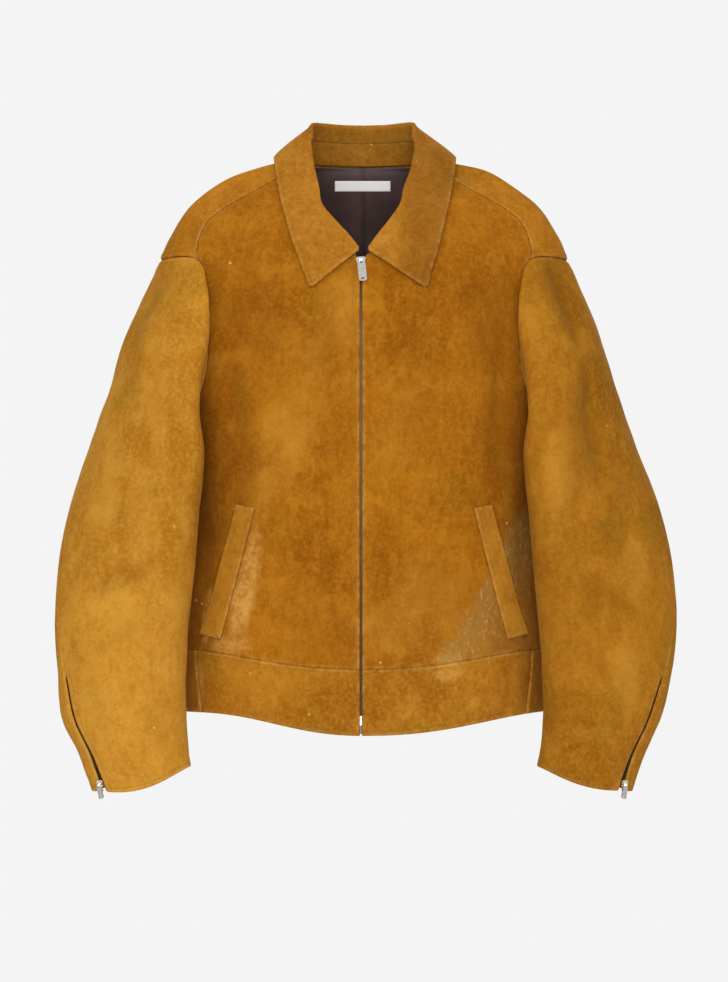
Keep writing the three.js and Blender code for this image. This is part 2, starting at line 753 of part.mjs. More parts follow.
// A slider lies in the XZ plane and faces -Y: its plate starts at y = 0 and the ring for the pull
// tab stands in front of it, with its middle at the origin of X and Z.
function sliderGeometry({ width, height, plate, ringIn, ringOut, ringWide }) {
  const w = width / 2;
  const outline = new THREE.Shape();
  outline.moveTo(-w, height * 0.35);
  outline.lineTo(-w * 0.6, height * 0.5);
  outline.lineTo(w * 0.6, height * 0.5);
  outline.lineTo(w, height * 0.35);
  outline.lineTo(w * 0.72, -height * 0.5);
  outline.lineTo(-w * 0.72, -height * 0.5);
  const base = extrude(outline, plate).rotateX(Math.PI / 2);
  const ring = new THREE.Shape().absarc(0, 0, ringOut, 0, 2 * Math.PI);
  ring.holes.push(new THREE.Path().absarc(0, 0, ringIn, 0, 2 * Math.PI));
  const stand = plate + ringOut - 0.4;
  const loop = extrude(ring, ringWide).translate(0, 0, -ringWide / 2).rotateY(Math.PI / 2);
  loop.translate(0, -stand, 0);
  return geometryOf(solidOf(base).add(solidOf(loop)));
}

// A pull tab hangs from its top bar, whose middle is the origin, in the XZ plane.
function pullGeometry({ width, length, thick, bar, eyeWide, eyeLong, slotWide, slotLong }) {
  const w = width / 2;
  const top = bar / 2;
  const round = width * 0.16;
  const shape = new THREE.Shape();
  shape.moveTo(-w * 0.72, top);
  shape.lineTo(w * 0.72, top);
  shape.lineTo(w, top - length * 0.32);
  shape.lineTo(w, top - length + round);
  shape.lineTo(w - round, top - length);
  shape.lineTo(-w + round, top - length);
  shape.lineTo(-w, top - length + round);
  shape.lineTo(-w, top - length * 0.32);
  const box = (x, z0, z1) => {
    const hole = new THREE.Path();
    hole.moveTo(-x, z0);
    hole.lineTo(x, z0);
    hole.lineTo(x, z1);
    hole.lineTo(-x, z1);
    return hole;
  };
  shape.holes.push(box(eyeWide / 2, -top - eyeLong, -top));
  const slotFoot = top - length + 2.2;
  shape.holes.push(box(slotWide / 2, slotFoot, slotFoot + slotLong));
  return extrude(shape, thick).translate(0, 0, -thick / 2).rotateX(Math.PI / 2);
}

const frontSlider = { width: 11.6, height: 9.4, plate: 2.6, ringIn: 1.5, ringOut: 2.8, ringWide: 2.6 };
const frontPull = {
  width: 9.2,
  length: 26,
  thick: 1.4,
  bar: 1.5,
  eyeWide: 3.4,
  eyeLong: 3.6,
  slotWide: 3.6,
  slotLong: 1.5,
};
const cuffSlider = { width: 8, height: 8, plate: 2.2, ringIn: 1.4, ringOut: 2.5, ringWide: 2.2 };
const cuffPull = {
  width: 6.4,
  length: 17,
  thick: 1.3,
  bar: 1.3,
  eyeWide: 3,
  eyeLong: 3.2,
  slotWide: 2.4,
  slotLong: 1.2,
};

// Sets a slider on the cloth at a point, with its back against it, and hangs its pull tab from it.
function addSlider(name, point, normal, down, slider, pull, pullDown) {
  const back = normal.clone().negate();
  const up = down.clone().negate().addScaledVector(normal, down.dot(normal)).normalize();
  const across = back.clone().cross(up).normalize();
  const place = new THREE.Matrix4().makeBasis(across, back, up);
  place.setPosition(point.clone().addScaledVector(normal, seamGap));
  const body = add(`${name}_slider`, sliderGeometry(slider), colours.metal, 0.3, 1);
  body.applyMatrix4(place);
  const stand = slider.plate + slider.ringOut - 0.4;
  const pivot = point.clone().addScaledVector(normal, seamGap + stand);
  const hang = pullDown.clone().addScaledVector(across, -pullDown.dot(across)).normalize();
  const tabUp = hang.clone().negate();
  const tab = new THREE.Matrix4().makeBasis(across, tabUp.clone().cross(across), tabUp);
  tab.setPosition(pivot);
  add(`${name}_pull`, pullGeometry(pull), colours.metal, 0.3, 1).applyMatrix4(tab);
}

const frontSliderZ = -101.5;
const frontPullLean = 5.4;
const frontTurn = turnAt(zipX, frontSliderZ);
const frontNormal = normalAt(bodyBase, frontTurn, frontSliderZ, 0.5, 0.5).setX(0).normalize();
const lean = new THREE.Vector3(Math.sin(radians(frontPullLean)), 0, -Math.cos(radians(frontPullLean)));
addSlider('front_zip', bodyPoint(frontTurn, frontSliderZ), frontNormal, lean, frontSlider, frontPull,
  lean.clone().addScaledVector(frontNormal, -lean.dot(frontNormal)));

// The box at the foot of the front zip
const zipBox = { width: 2, height: 10, depth: 2.4, z: -613 };
const boxLift = seamGap + zipBox.depth / 2 - suedeWall - layerClearance;
const boxPoint = bodyPoint(turnAt(zipX, zipBox.z), zipBox.z, boxLift);
add('front_zip_box', new THREE.BoxGeometry(zipBox.width, zipBox.depth, zipBox.height), colours.metal, 0.3, 1)
  .position.copy(boxPoint);

// Cuff zips: a tape behind the open seam, with the slider at the hem
const cuffSliderDown = sleeveLength - 9;
const cuffTapeDowns = along(sleeveLength - cuffZipLength, sleeveLength - 3, 5);

for (const [name, side] of [['left', -1], ['right', 1]]) {
  const grid = (lift) => cuffTapeDowns.map((down) =>
    [-1, 0, 1].map((step) => {
      const perMillimetre = 360 / (Math.PI * (read(sleeveSections, 'down', down, 'deep') + 56));
      return sleevePoint(side, backSeamAt(down) + (step * cuffTapeWidth * perMillimetre) / 2, down, lift);
    }),
  );
  const lift = -(suedeWall + cuffTapeClearance);
  add(`cuff_tape_${name}`, wallBetween(grid(lift), grid(lift - tapeWall)), colours.tape);
  const at = (down) => sleevePoint(side, backSeamAt(down), down);
  const base = (around, down) => sleeveBase(side, around, down);
  const normal = normalAt(base, backSeamAt(cuffSliderDown), cuffSliderDown, 1, 1).multiplyScalar(side);
  const down = at(cuffSliderDown + 3).sub(at(cuffSliderDown - 9)).normalize();
  const plumb = new THREE.Vector3(0, 0, -1);
  addSlider(`cuff_${name}`, at(cuffSliderDown), normal, down, cuffSlider, cuffPull, plumb);
}

export default group;
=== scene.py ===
"""Looks of a short suede zip jacket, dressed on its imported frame.

Shapes are worked out in millimetres, from the same few tables as the frame's solids, and become
metres when a mesh is made. X runs to the viewer's right, Y to the back and Z up. Left and right
are the viewer's.
"""
import logging
import math
from dataclasses import dataclass, field
from enum import Enum
from typing import Callable, Sequence

import bpy
import numpy as np
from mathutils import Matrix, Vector


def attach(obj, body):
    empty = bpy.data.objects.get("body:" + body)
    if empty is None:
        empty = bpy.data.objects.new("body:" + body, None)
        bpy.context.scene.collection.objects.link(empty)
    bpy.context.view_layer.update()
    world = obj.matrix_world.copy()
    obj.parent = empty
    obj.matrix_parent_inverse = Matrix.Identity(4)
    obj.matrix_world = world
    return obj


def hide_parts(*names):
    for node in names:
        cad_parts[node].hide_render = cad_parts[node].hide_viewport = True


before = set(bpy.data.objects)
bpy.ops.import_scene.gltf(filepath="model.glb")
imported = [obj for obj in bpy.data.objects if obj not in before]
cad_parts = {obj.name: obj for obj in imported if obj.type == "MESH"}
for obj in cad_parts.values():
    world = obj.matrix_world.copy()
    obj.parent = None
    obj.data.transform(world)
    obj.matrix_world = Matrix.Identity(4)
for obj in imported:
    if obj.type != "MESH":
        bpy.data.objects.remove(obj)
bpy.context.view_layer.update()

LOG = logging.getLogger("jacket")
Array = np.ndarray
Colour = tuple[float, float, float, float]
MM = 0.001
BODY = "jacket"

SUEDE_WALL = 2.0
LINING_WALL = 1.2
LINING_CLEARANCE = 3.0
LAYER_CLEARANCE = 0.7
ZIP_X = -3.4
FRONT_EDGE_GAP = 2.4
CUFF_ZIP_LENGTH = 136.0
CUFF_SLIT = 3.0
WAIST_SEAM = {"side": -535.0, "front": -556.0, "back": -548.0, "dipLeft": 2.0, "dipRight": 2.0}
HEM = {"side": -605.0, "front": -630.0, "back": -618.0, "dipLeft": 3.5, "dipRight": 1.9}
HEM_SAG = {-1: 11.0, 1: 7.5}
SAG_START = 450.0
ARMHOLE_MIDDLE = (90.0, -190.0)
UNDERARM = -282.0
SLEEVE_LENGTH = 613.0
SLEEVE_POWER = 2.15
STUB_LENGTH = 14.0
NECK_SIDE = 0.565
STAND_SHARE = 0.58
STAND_CLEARANCE = 0.8
STAND_SHORT = 9.0
FALL_BULGE = 5.0
SEAM_TURN = 45.0
BAND_JOIN = {"top": 66.0, "bottom": 60.0}


def mix(a: Array, b: Array, t: Array) -> Array:
    """Returns the value that lies a share t of the way from a to b."""
    return a + (b - a) * t


def unit(vectors: Array) -> Array:
    """Returns the vectors at length one."""
    return vectors / np.maximum(np.linalg.norm(vectors, axis=-1, keepdims=True), 1e-9)


def sharp(value: Array, power: Array) -> Array:
    """Returns a sine or cosine bent to a superellipse of that power."""
    return np.sign(value) * np.abs(value) ** (2 / power)


def step(low: float, high: float, at: Array) -> Array:
    """Returns 0 below low and 1 above high, with a smooth rise between them."""
    t = np.clip((at - low) / (high - low), 0, 1)
    return t * t * (3 - 2 * t)


def bell(distance: Array, width: float) -> Array:
    """Returns a bell that is 1 at no distance and has that half width."""
    return np.exp(-((distance / width) ** 2))


def through(knots: Array, values: Array, at: Array) -> Array:
    """Runs a smooth curve through knots, with slopes taken from their neighbours.

    Args:
        knots: Places of the K knots.
        values: Values there, of shape (K, ...), or (K, N, ...) with one set for each place.
        at: The places to read, of any shape S, or N of them.

    Returns:
        Values of shape S + (...,), or (N, ...).
    """
    at = np.asarray(at, float)
    last = len(knots) - 1
    before = np.maximum(np.arange(last + 1) - 1, 0)
    after = np.minimum(np.arange(last + 1) + 1, last)
    widths = (knots[after] - knots[before]).reshape((-1,) + (1,) * (values.ndim - 1))
    slopes = (values[after] - values[before]) / widths
    i = np.clip(np.searchsorted(knots, at, side="left") - 1, 0, last - 1)
    size = knots[i + 1] - knots[i]
    t = (at - knots[i]) / size
    many = values.ndim == 3
    pick = (lambda table, k: table[k, np.arange(len(k))]) if many else (lambda table, k: table[k])
    extra = values.ndim - (2 if many else 1)
    t, size = (part.reshape(part.shape + (1,) * extra) for part in (t, size))
    start = (1 + 2 * t) * (1 - t) ** 2 * pick(values, i) + t * (1 - t) ** 2 * size * pick(slopes, i)
    end = t * t * (3 - 2 * t) * pick(values, i + 1) + t * t * (t - 1) * size * pick(slopes, i + 1)
    return start + end


class Table:
    """Rows of named columns, read smoothly along the first one."""

    def __init__(self, columns: str, *rows: Sequence[float]) -> None:
        """Keeps the rows as an array.

        Args:
            columns: The columns' names with spaces between them.
            *rows: One sequence of numbers for each row.
        """
        self.columns = columns.split()
        self.rows = np.array(rows, float)

    def read(self, place: Array, *names: str) -> Array:
        """Reads columns at a place along the first column.

        Args:
            place: The place or places.
            *names: The columns to read.

        Returns:
            One array of the place's shape for a single name, or a stack of them.
        """
        values = through(self.rows[:, 0], self.rows, place)
        picked = [values[..., self.columns.index(name)] for name in names]
        return picked[0] if len(names) == 1 else np.stack(picked)


RINGS = Table(
    "z half mid front back power",
    (-640, 206, 4, 104, 96, 2.3), (-560, 205, 4, 109, 101, 2.3), (-480, 201, 4, 114, 109, 2.2),
    (-400, 198, 4, 117, 115, 2.2), (-330, 201, 4, 118, 118, 2.2), (-278, 208, 4, 117, 120, 2.2),
    (-200, 219, 4, 113, 118, 2.2), (-140, 226, 3, 105, 113, 2.2), (-97, 229, 3, 93, 106, 2.2),
    (-60, 212, 4, 76, 97, 2.2), (-33, 193, 5, 52, 87, 2.2), (-9, 161, 7, 24, 76, 2.2),
    (3, 137, 9, 13, 70, 2.2), (10.5, 109, 12, 5, 66, 2.2), (14, 91, 14, 2, 62, 2.2),
    (20, 60, 16, 1, 55, 2.2),
)
ARMHOLE = Table(
    "around turn z",
    (0, 90, -97), (20, 68, -94), (40, 56, -95), (55, 51, -103), (70, 50, -122),
    (90, 50, -155), (110, 51, -190), (130, 54, -225), (150, 61, -256), (165, 71, -274),
    (180, 90, UNDERARM),
)
NECK = Table(
    "along turn z",
    (0, 180, 11), (0.2, 150, 12.5), (0.35, 120, 14), (0.45, 90, 15), (0.53, 44.5, 6), (0.62, 27, -9),
    (0.72, 16, -33), (0.82, 10.7, -56), (0.91, 5.5, -76), (1, 0.8, -94),
)
SHOULDER_SEAM = ((56.5, -60), (52, -42), (45, -26), (39.5, -10))
COLLAR = Table(
    "along rollLeft rollRight rollY rollZ edgeLeft edgeRight edgeY edgeZ radius",
    (0, 0, 0, 66, 58, 0, 0, 92, -6, 4.2), (0.1, 24, 23, 62, 58.5, 38, 38, 89, -4, 4.2),
    (0.2, 46, 44, 50, 60, 75, 76, 79, 3, 4.2), (0.3, 58.5, 56, 34, 59.5, 99, 101, 54, 14, 4.2),
    (0.4, 61, 57.5, 18, 50, 102.5, 104.5, 20, 19, 4.2), (0.5, 59.5, 56.5, 2, 30, 101, 103.5, -5, 9, 4.1),
    (0.6, 56, 52, -17, 6, 97.5, 100, -27, -14, 3.9), (0.7, 50.5, 44, -38, -17, 92, 95, -53, -38, 3.6),
    (0.78, 47, 40, -57, -35, 86, 90, -74, -60, 3.3), (0.86, 32, 28, -74.5, -54, 78, 83.5, -89, -86, 3),
    (0.93, 17, 15, -84, -71, 69, 76.5, -96, -109, 2.8), (1, 5.5, 4.5, -90.5, -86, 61, 71, -103, -132.5, 2.6),
)
SLEEVE = Table(
    "down outX outY outZ inX inY inZ deep clear reach rightShift",
    (75, 265, 8, -172, 188, -56, -306, 82, 58, 27, -3),
    (145, 287, 2, -240, 184, -66, -346, 76, 48, 21, -4),
    (215, 309, -6, -306, 185, -74, -382, 70, 40, 12, -2),
    (283, 330, -16, -372, 187, -78, -414, 65, 30, 10, 1),
    (342, 342, -26, -430, 190, -80, -452, 61, 20, 6, 3),
    (407, 347, -36, -495, 195, -80, -500, 56, 10, 3, 4),
    (462, 345, -42, -550, 198, -78, -550, 50, 5, 0, 2),
    (522, 339, -48, -610, 199, -77, -602, 42, 3, 0, -6),
    (570, 319, -54, -654, 197, -76, -640, 34, 0, 0, -6),
    (613, 303.5, -58, -693.5, 193.5, -74, -665, 26, 0, 0, -4),
)
STUB = {"top": (6.5, 0, -12.5), "under": (14, -3, -5), "front": (-3, -14, -3), "back": (3, 11, -5)}
BACK_SEAM = Table(
    "down around",
    (0, -60), (145, -46), (250, -20), (342, 8), (407, 20), (462, 29), (500, 36), (560, 41),
    (SLEEVE_LENGTH, 42),
)
INNER_SEAM = Table("down around", (0, 150), (300, 180), (SLEEVE_LENGTH, 215))
WELT = {
    "innerTop": (120.5, -376), "outerTop": (141.5, -372),
    "innerEnd": (159.5, -523), "outerEnd": (182.5, -517.5),
}
LABEL = {"left": -33.5, "right": 30.5, "top": -3.0, "bottom": -14.2}


@dataclass(frozen=True)
class Fold:
    """A soft ridge or trough of cloth from one place to another.

    Its places are width and height on the body, and degrees round and distance down on a sleeve.
    """

    across0: float
    along0: float
    across1: float
    along1: float
    width: float
    out: float

    def height(self, across: Array, along: Array) -> Array:
        """Returns how far the fold lifts each place."""
        t = (along - self.along0) / (self.along1 - self.along0)
        off = (across - mix(self.across0, self.across1, t)) / self.width
        inside = np.clip(t, 0, 1)
        return self.out * np.exp(-off * off) * np.sin(np.pi * inside) ** 0.7


def folds(*rows: Sequence[float]) -> list[Fold]:
    """Makes a list of folds from rows of their six values."""
    return [Fold(*row) for row in rows]


FRONT_FOLDS = folds(
    (-158, -130, -140, -330, 15, -5), (-118, -200, -100, -480, 24, 3), (-60, -300, -48, -540, 20, -2.5),
    (-186, -330, -176, -500, 14, -4), (160, -120, 146, -340, 15, -5), (120, -220, 108, -500, 24, 3),
    (58, -260, 44, -530, 20, -2.5), (188, -340, 178, -500, 14, -4),
)
BACK_FOLDS = folds(
    (-142, -210, -118, -420, 20, -4.5), (-95, -240, -80, -540, 22, -5), (-30, -200, -22, -520, 20, 4),
    (34, -280, 40, -540, 20, -4), (92, -180, 84, -530, 22, 5), (140, -220, 124, -440, 20, -4.5),
    (-168, -380, -160, -540, 14, -5), (165, -400, 155, -540, 14, 5),
)
SLEEVE_FOLDS = {
    -1: folds(
        (12, 5, 38, 110, 14, -6), (60, 90, 40, 300, 20, 3), (110, 330, 60, 390, 13, -4),
        (125, 400, 70, 450, 12, -3), (290, 120, 250, 330, 16, -6), (250, 330, 320, 420, 15, -6),
        (240, 420, 300, 500, 14, -5),
    ),
    1: folds(
        (15, 0, 56, 80, 11, -8), (56, 80, 76, 250, 10, -8), (92, 60, 96, 300, 14, 4),
        (120, 340, 60, 410, 13, -4), (130, 430, 80, 480, 12, -3), (295, 100, 245, 300, 16, -6),
        (240, 310, 310, 400, 15, -6), (250, 430, 310, 510, 14, -5),
    ),
}


class Unevenness:
    """Smooth noise over space, the same on each run, for cloth that is never quite even."""

    def __init__(self, seed: int, size: float) -> None:
        """Fills a block of random values.

        Args:
            seed: Seed of the block.
            size: Distance between its values, in millimetres.
        """
        self.block = np.random.default_rng(seed).uniform(-1, 1, (32, 32, 32))
        self.size = size

    def at(self, points: Array) -> Array:
        """Returns the noise, from -1 to 1, at points of shape (..., 3)."""
        place = points / self.size
        cell = np.floor(place).astype(int)
        t = place - cell
        t = t * t * (3 - 2 * t)
        total = np.zeros(points.shape[:-1])
        for corner in np.ndindex(2, 2, 2):
            weight = np.prod(np.where(np.array(corner) == 1, t, 1 - t), axis=-1)
            i, j, k = np.moveaxis((cell + corner) % 32, -1, 0)
            total += weight * self.block[i, j, k]
        return total


BROAD = Unevenness(3, 62)
MIDDLE = Unevenness(7, 27)
SMALL = Unevenness(11, 11)


def slack(points: Array, broad: float = 1.1, middle: float = 0.55, small: float = 0.16) -> Array:
    """Returns the uneven lift of hanging suede, in millimetres."""
    return broad * BROAD.at(points) + middle * MIDDLE.at(points) + small * SMALL.at(points)


# Places on the body and the sleeves


def body_base(turn: Array, z: Array) -> Array:
    """Returns points of the body's smooth form at directions (degrees) and heights."""
    half, mid, front, back, power = RINGS.read(z, "half", "mid", "front", "back", "power")
    across = np.sin(np.radians(turn))
    ahead = np.cos(np.radians(turn))
    reach = np.where(ahead > 0, -front, back)
    depth = mid + reach * np.abs(sharp(ahead, power))
    return np.stack([half * sharp(across, power), depth, z + 0 * turn], -1)


def normals_of(place: Callable[[Array, Array], Array], u: Array, v: Array, size: float) -> Array:
    """Returns unit normals of a surface from small steps along its two directions."""
    along_u = place(u + size, v) - place(u - size, v)
    along_v = place(u, v + size) - place(u, v - size)
    return unit(np.cross(along_u, along_v))


def body_point(turn: Array, z: Array, lift: Array = 0.0) -> tuple[Array, Array]:
    """Places points on the body with its main folds.

    Args:
        turn: Directions, 0 at the centre front and 180 at the centre back.
        z: Heights.
        lift: How far the points stand out.

    Returns:
        The points and their outward normals.
    """
    points = body_base(turn, z)
    normals = normals_of(body_base, turn, z, 0.5)
    ahead = np.cos(np.radians(turn))
    front = sum(fold.height(points[..., 0], z) for fold in FRONT_FOLDS)
    back = sum(fold.height(points[..., 0], z) for fold in BACK_FOLDS)
    out = np.minimum(1, 2.5 * np.abs(ahead)) * np.where(ahead > 0, front, back) + lift
    return points + normals * out[..., None], normals


def turn_at(x: Array, z: Array) -> Array:
    """Returns the direction on the body's front of a place given by its width and height."""
    half, power = RINGS.read(z, "half", "power")
    share = np.minimum(np.abs(x) / half, 1)
    return np.sign(x) * np.degrees(np.arcsin(share ** (power / 2)))


def armhole_at(around: Array) -> Array:
    """Returns direction and height of the armhole at degrees round it, with the back below 0."""
    full = np.mod(around, 360)
    place = np.where(full > 180, 360 - full, full)
    turn, z = ARMHOLE.read(place, "turn", "z")
    return np.stack([np.where(full > 180, 180 - turn, turn), z], -1)


def armhole_line(side: int, around: Array, inset: float = 0.0, lift: float = 0.0) -> tuple[Array, Array]:
    """Finds a line on the body beside the armhole.

    Args:
        side: -1 for the left and 1 for the right.
        around: Degrees round the armhole, with the back below 0.
        inset: Distance from the armhole.
        lift: How far the line stands out.

    Returns:
        Points on the line and the body's normals there.
    """
    seam = armhole_at(around)
    points = body_base(seam[:, 0], seam[:, 1])
    normals = normals_of(body_base, seam[:, 0], seam[:, 1], 0.5)
    beside = unit(np.cross(normals, np.gradient(points, axis=0)))
    middle = body_base(*(np.array(value) for value in ARMHOLE_MIDDLE))
    away = np.sign(np.sum(beside * (points - middle), -1))
    beside = beside * away[:, None] * inset
    degree = body_base(seam[:, 0] + 0.5, seam[:, 1]) - body_base(seam[:, 0] - 0.5, seam[:, 1])
    turn = seam[:, 0] + np.sum(beside * degree, -1) / np.sum(degree * degree, -1)
    return body_point(side * turn, seam[:, 1] + beside[:, 2], lift)


def gap_to(points: Array, line: Array) -> Array:
    """Returns each point's distance to the nearest place of a dense line."""
    flat = points.reshape(-1, 3)
    nearest = [np.linalg.norm(part[:, None] - line[None], axis=-1).min(1) for part in np.array_split(flat, 24)]
    return np.concatenate(nearest).reshape(points.shape[:-1])


def neck_at(along: Array) -> Array:
    """Returns direction and height of the neck seam."""
    return np.moveaxis(NECK.read(along, "turn", "z"), 0, -1)


def level(heights: dict[str, float], turn: Array, side: int = 1) -> Array:
    """Returns the height of a seam that runs round the body."""
    ahead = np.cos(np.radians(turn))
    middle = np.where(ahead > 0, heights["front"], heights["back"])
    right = side * np.sin(np.radians(turn)) > 0
    dip = np.where(right, heights["dipRight"], heights["dipLeft"])
    return mix(heights["side"], middle, (ahead * ahead) ** np.where(ahead > 0, dip, 1.0))


def sleeve_base(side: int, around: Array, down: Array) -> Array:
    """Returns points of a sleeve's smooth form.

    Args:
        side: -1 for the left and 1 for the right.
        around: Degrees round it, 0 at the outer edge and 90 at the front.
        down: Distance down it.

    Returns:
        Points of the arrays' shape with three values each.
    """
    around, down = np.broadcast_arrays(np.asarray(around, float), np.asarray(down, float))
    shape = around.shape
    around, down = around.ravel(), down.ravel()
    seam = armhole_at(around)
    start, _ = body_point(side * seam[:, 0], seam[:, 1])
    start = start * (side, 1, 1)
    across, ahead = np.cos(np.radians(around)), np.sin(np.radians(around))
    ends = np.where((across > 0)[:, None], STUB["top"], STUB["under"]) * (across * across)[:, None]
    sides = np.where((ahead > 0)[:, None], STUB["front"], STUB["back"]) * (ahead * ahead)[:, None]
    points = [start, start + ends + sides]
    across, ahead = sharp(across, SLEEVE_POWER), sharp(ahead, SLEEVE_POWER)
    t = (1 - across) / 2
    for row in SLEEVE.rows:
        out_x, out_y, out_z, in_x, in_y, in_z, deep, clear, reach, shift = row[1:]
        out_x = out_x + (shift if side > 0 else 0)
        bulge = clear * np.maximum(-ahead, 0) - reach * np.maximum(ahead, 0)
        x = mix(out_x, in_x, t) + t * bulge
        low = (max(row[0] - SAG_START, 0) / (SLEEVE_LENGTH - SAG_START)) ** 2
        z = mix(out_z, in_z, t) - HEM_SAG[side] * low * np.maximum(ahead, 0) * 4 * t * (1 - t)
        points.append(np.stack([x, mix(out_y, in_y, t) - deep * ahead, z], -1))
    knots = np.array([0, STUB_LENGTH, *SLEEVE.rows[:, 0]])
    placed = through(knots, np.stack(points), down)
    return (placed * (side, 1, 1)).reshape(shape + (3,))


def sleeve_point(side: int, around: Array, down: Array, lift: Array = 0.0) -> tuple[Array, Array]:
    """Places points on a sleeve with its main folds, and returns them and their normals."""
    around, down = np.broadcast_arrays(np.asarray(around, float), np.asarray(down, float))
    points = sleeve_base(side, around, down)
    below = np.maximum(down, 1)
    normals = side * normals_of(lambda a, d: sleeve_base(side, a, d), around, below, 1.0)
    full = np.mod(around, 360)
    out = sum(fold.height(full, down) for fold in SLEEVE_FOLDS[side]) + lift
    return points + normals * out[..., None], normals


# Cloth


class Edge(Enum):
    """How a panel ends, and so how its surface lies beside that end."""

    PLAIN = "dips into a seam"
    PRESSED = "lies on the seam's turned cloth, held by a row of stitches"
    FOLDED = "is turned under, with a round free edge"

    def lift(self, distance: Array) -> Array:
        """Returns how far the cloth stands out at a distance from this end, in millimetres."""
        if self is Edge.PLAIN:
            return -1.4 * bell(distance, 1.6)
        if self is Edge.PRESSED:
            strip = 0.75 * (1 - step(5.5, 8.5, distance))
            return strip - 1.5 * bell(distance, 1.3) - 0.45 * bell(distance - 4.5, 1.1)
        strip = 0.5 * (1 - step(7.5, 10.5, distance))
        return strip - 1.5 * np.maximum(0, 1 - distance / 1.7) ** 2 - 0.45 * bell(distance - 6, 1.1)


def graded(start: float, end: float, length: float, size: float, ends: str = "both") -> Array:
    """Returns parameters for a line of cloth, closer together at its ends.

    Args:
        start: The first parameter.
        end: The last parameter.
        length: The line's rough length.
        size: The rough distance between places away from the ends.
        ends: Which ends have the closer places: both, first or last.

    Returns:
        The parameters in order.
    """
    near = np.array([0, 0.6, 1.3, 2.2, 3.4, 4.6, 5.8, 7.2, 9.0])
    first = near if ends in ("both", "first") else near[:1]
    last = near if ends in ("both", "last") else near[:1]
    room = length - first[-1] - last[-1]
    middle = np.linspace(first[-1], length - last[-1], max(int(room / size), 2) + 1)
    places = np.concatenate([first[:-1], middle, (length - last[:-1])[::-1]])
    return mix(start, end, places / length)


def coons(bottom: Array, top: Array, left: Array, right: Array, u: Array, v: Array) -> Array:
    """Fills four edges that share their corners with a grid.

    Args:
        bottom: Places along the first row.
        top: Places along the last row.
        left: Places down the first column.
        right: Places down the last column.
        u: Shares of the way along the rows.
        v: Shares of the way along the columns.

    Returns:
        A grid of places with rows as long as u.
    """
    u, v = u[None, :, None], v[:, None, None]
    rows = mix(left[:, None], right[:, None], u) + mix(bottom[None], top[None], v)
    corners = mix(mix(bottom[0], bottom[-1], u), mix(top[0], top[-1], u), v)
    return rows - corners


def lengths(points: Array, axis: int, from_end: bool = False) -> Array:
    """Returns each point's distance along the grid's rows (axis 1) or columns (axis 0)."""
    steps = np.linalg.norm(np.diff(points, axis=axis), axis=-1)
    shape = list(steps.shape)
    shape[axis] = 1
    run = np.concatenate([np.zeros(shape), np.cumsum(steps, axis=axis)], axis)
    return np.take(run, [-1], axis=axis) - run if from_end else run


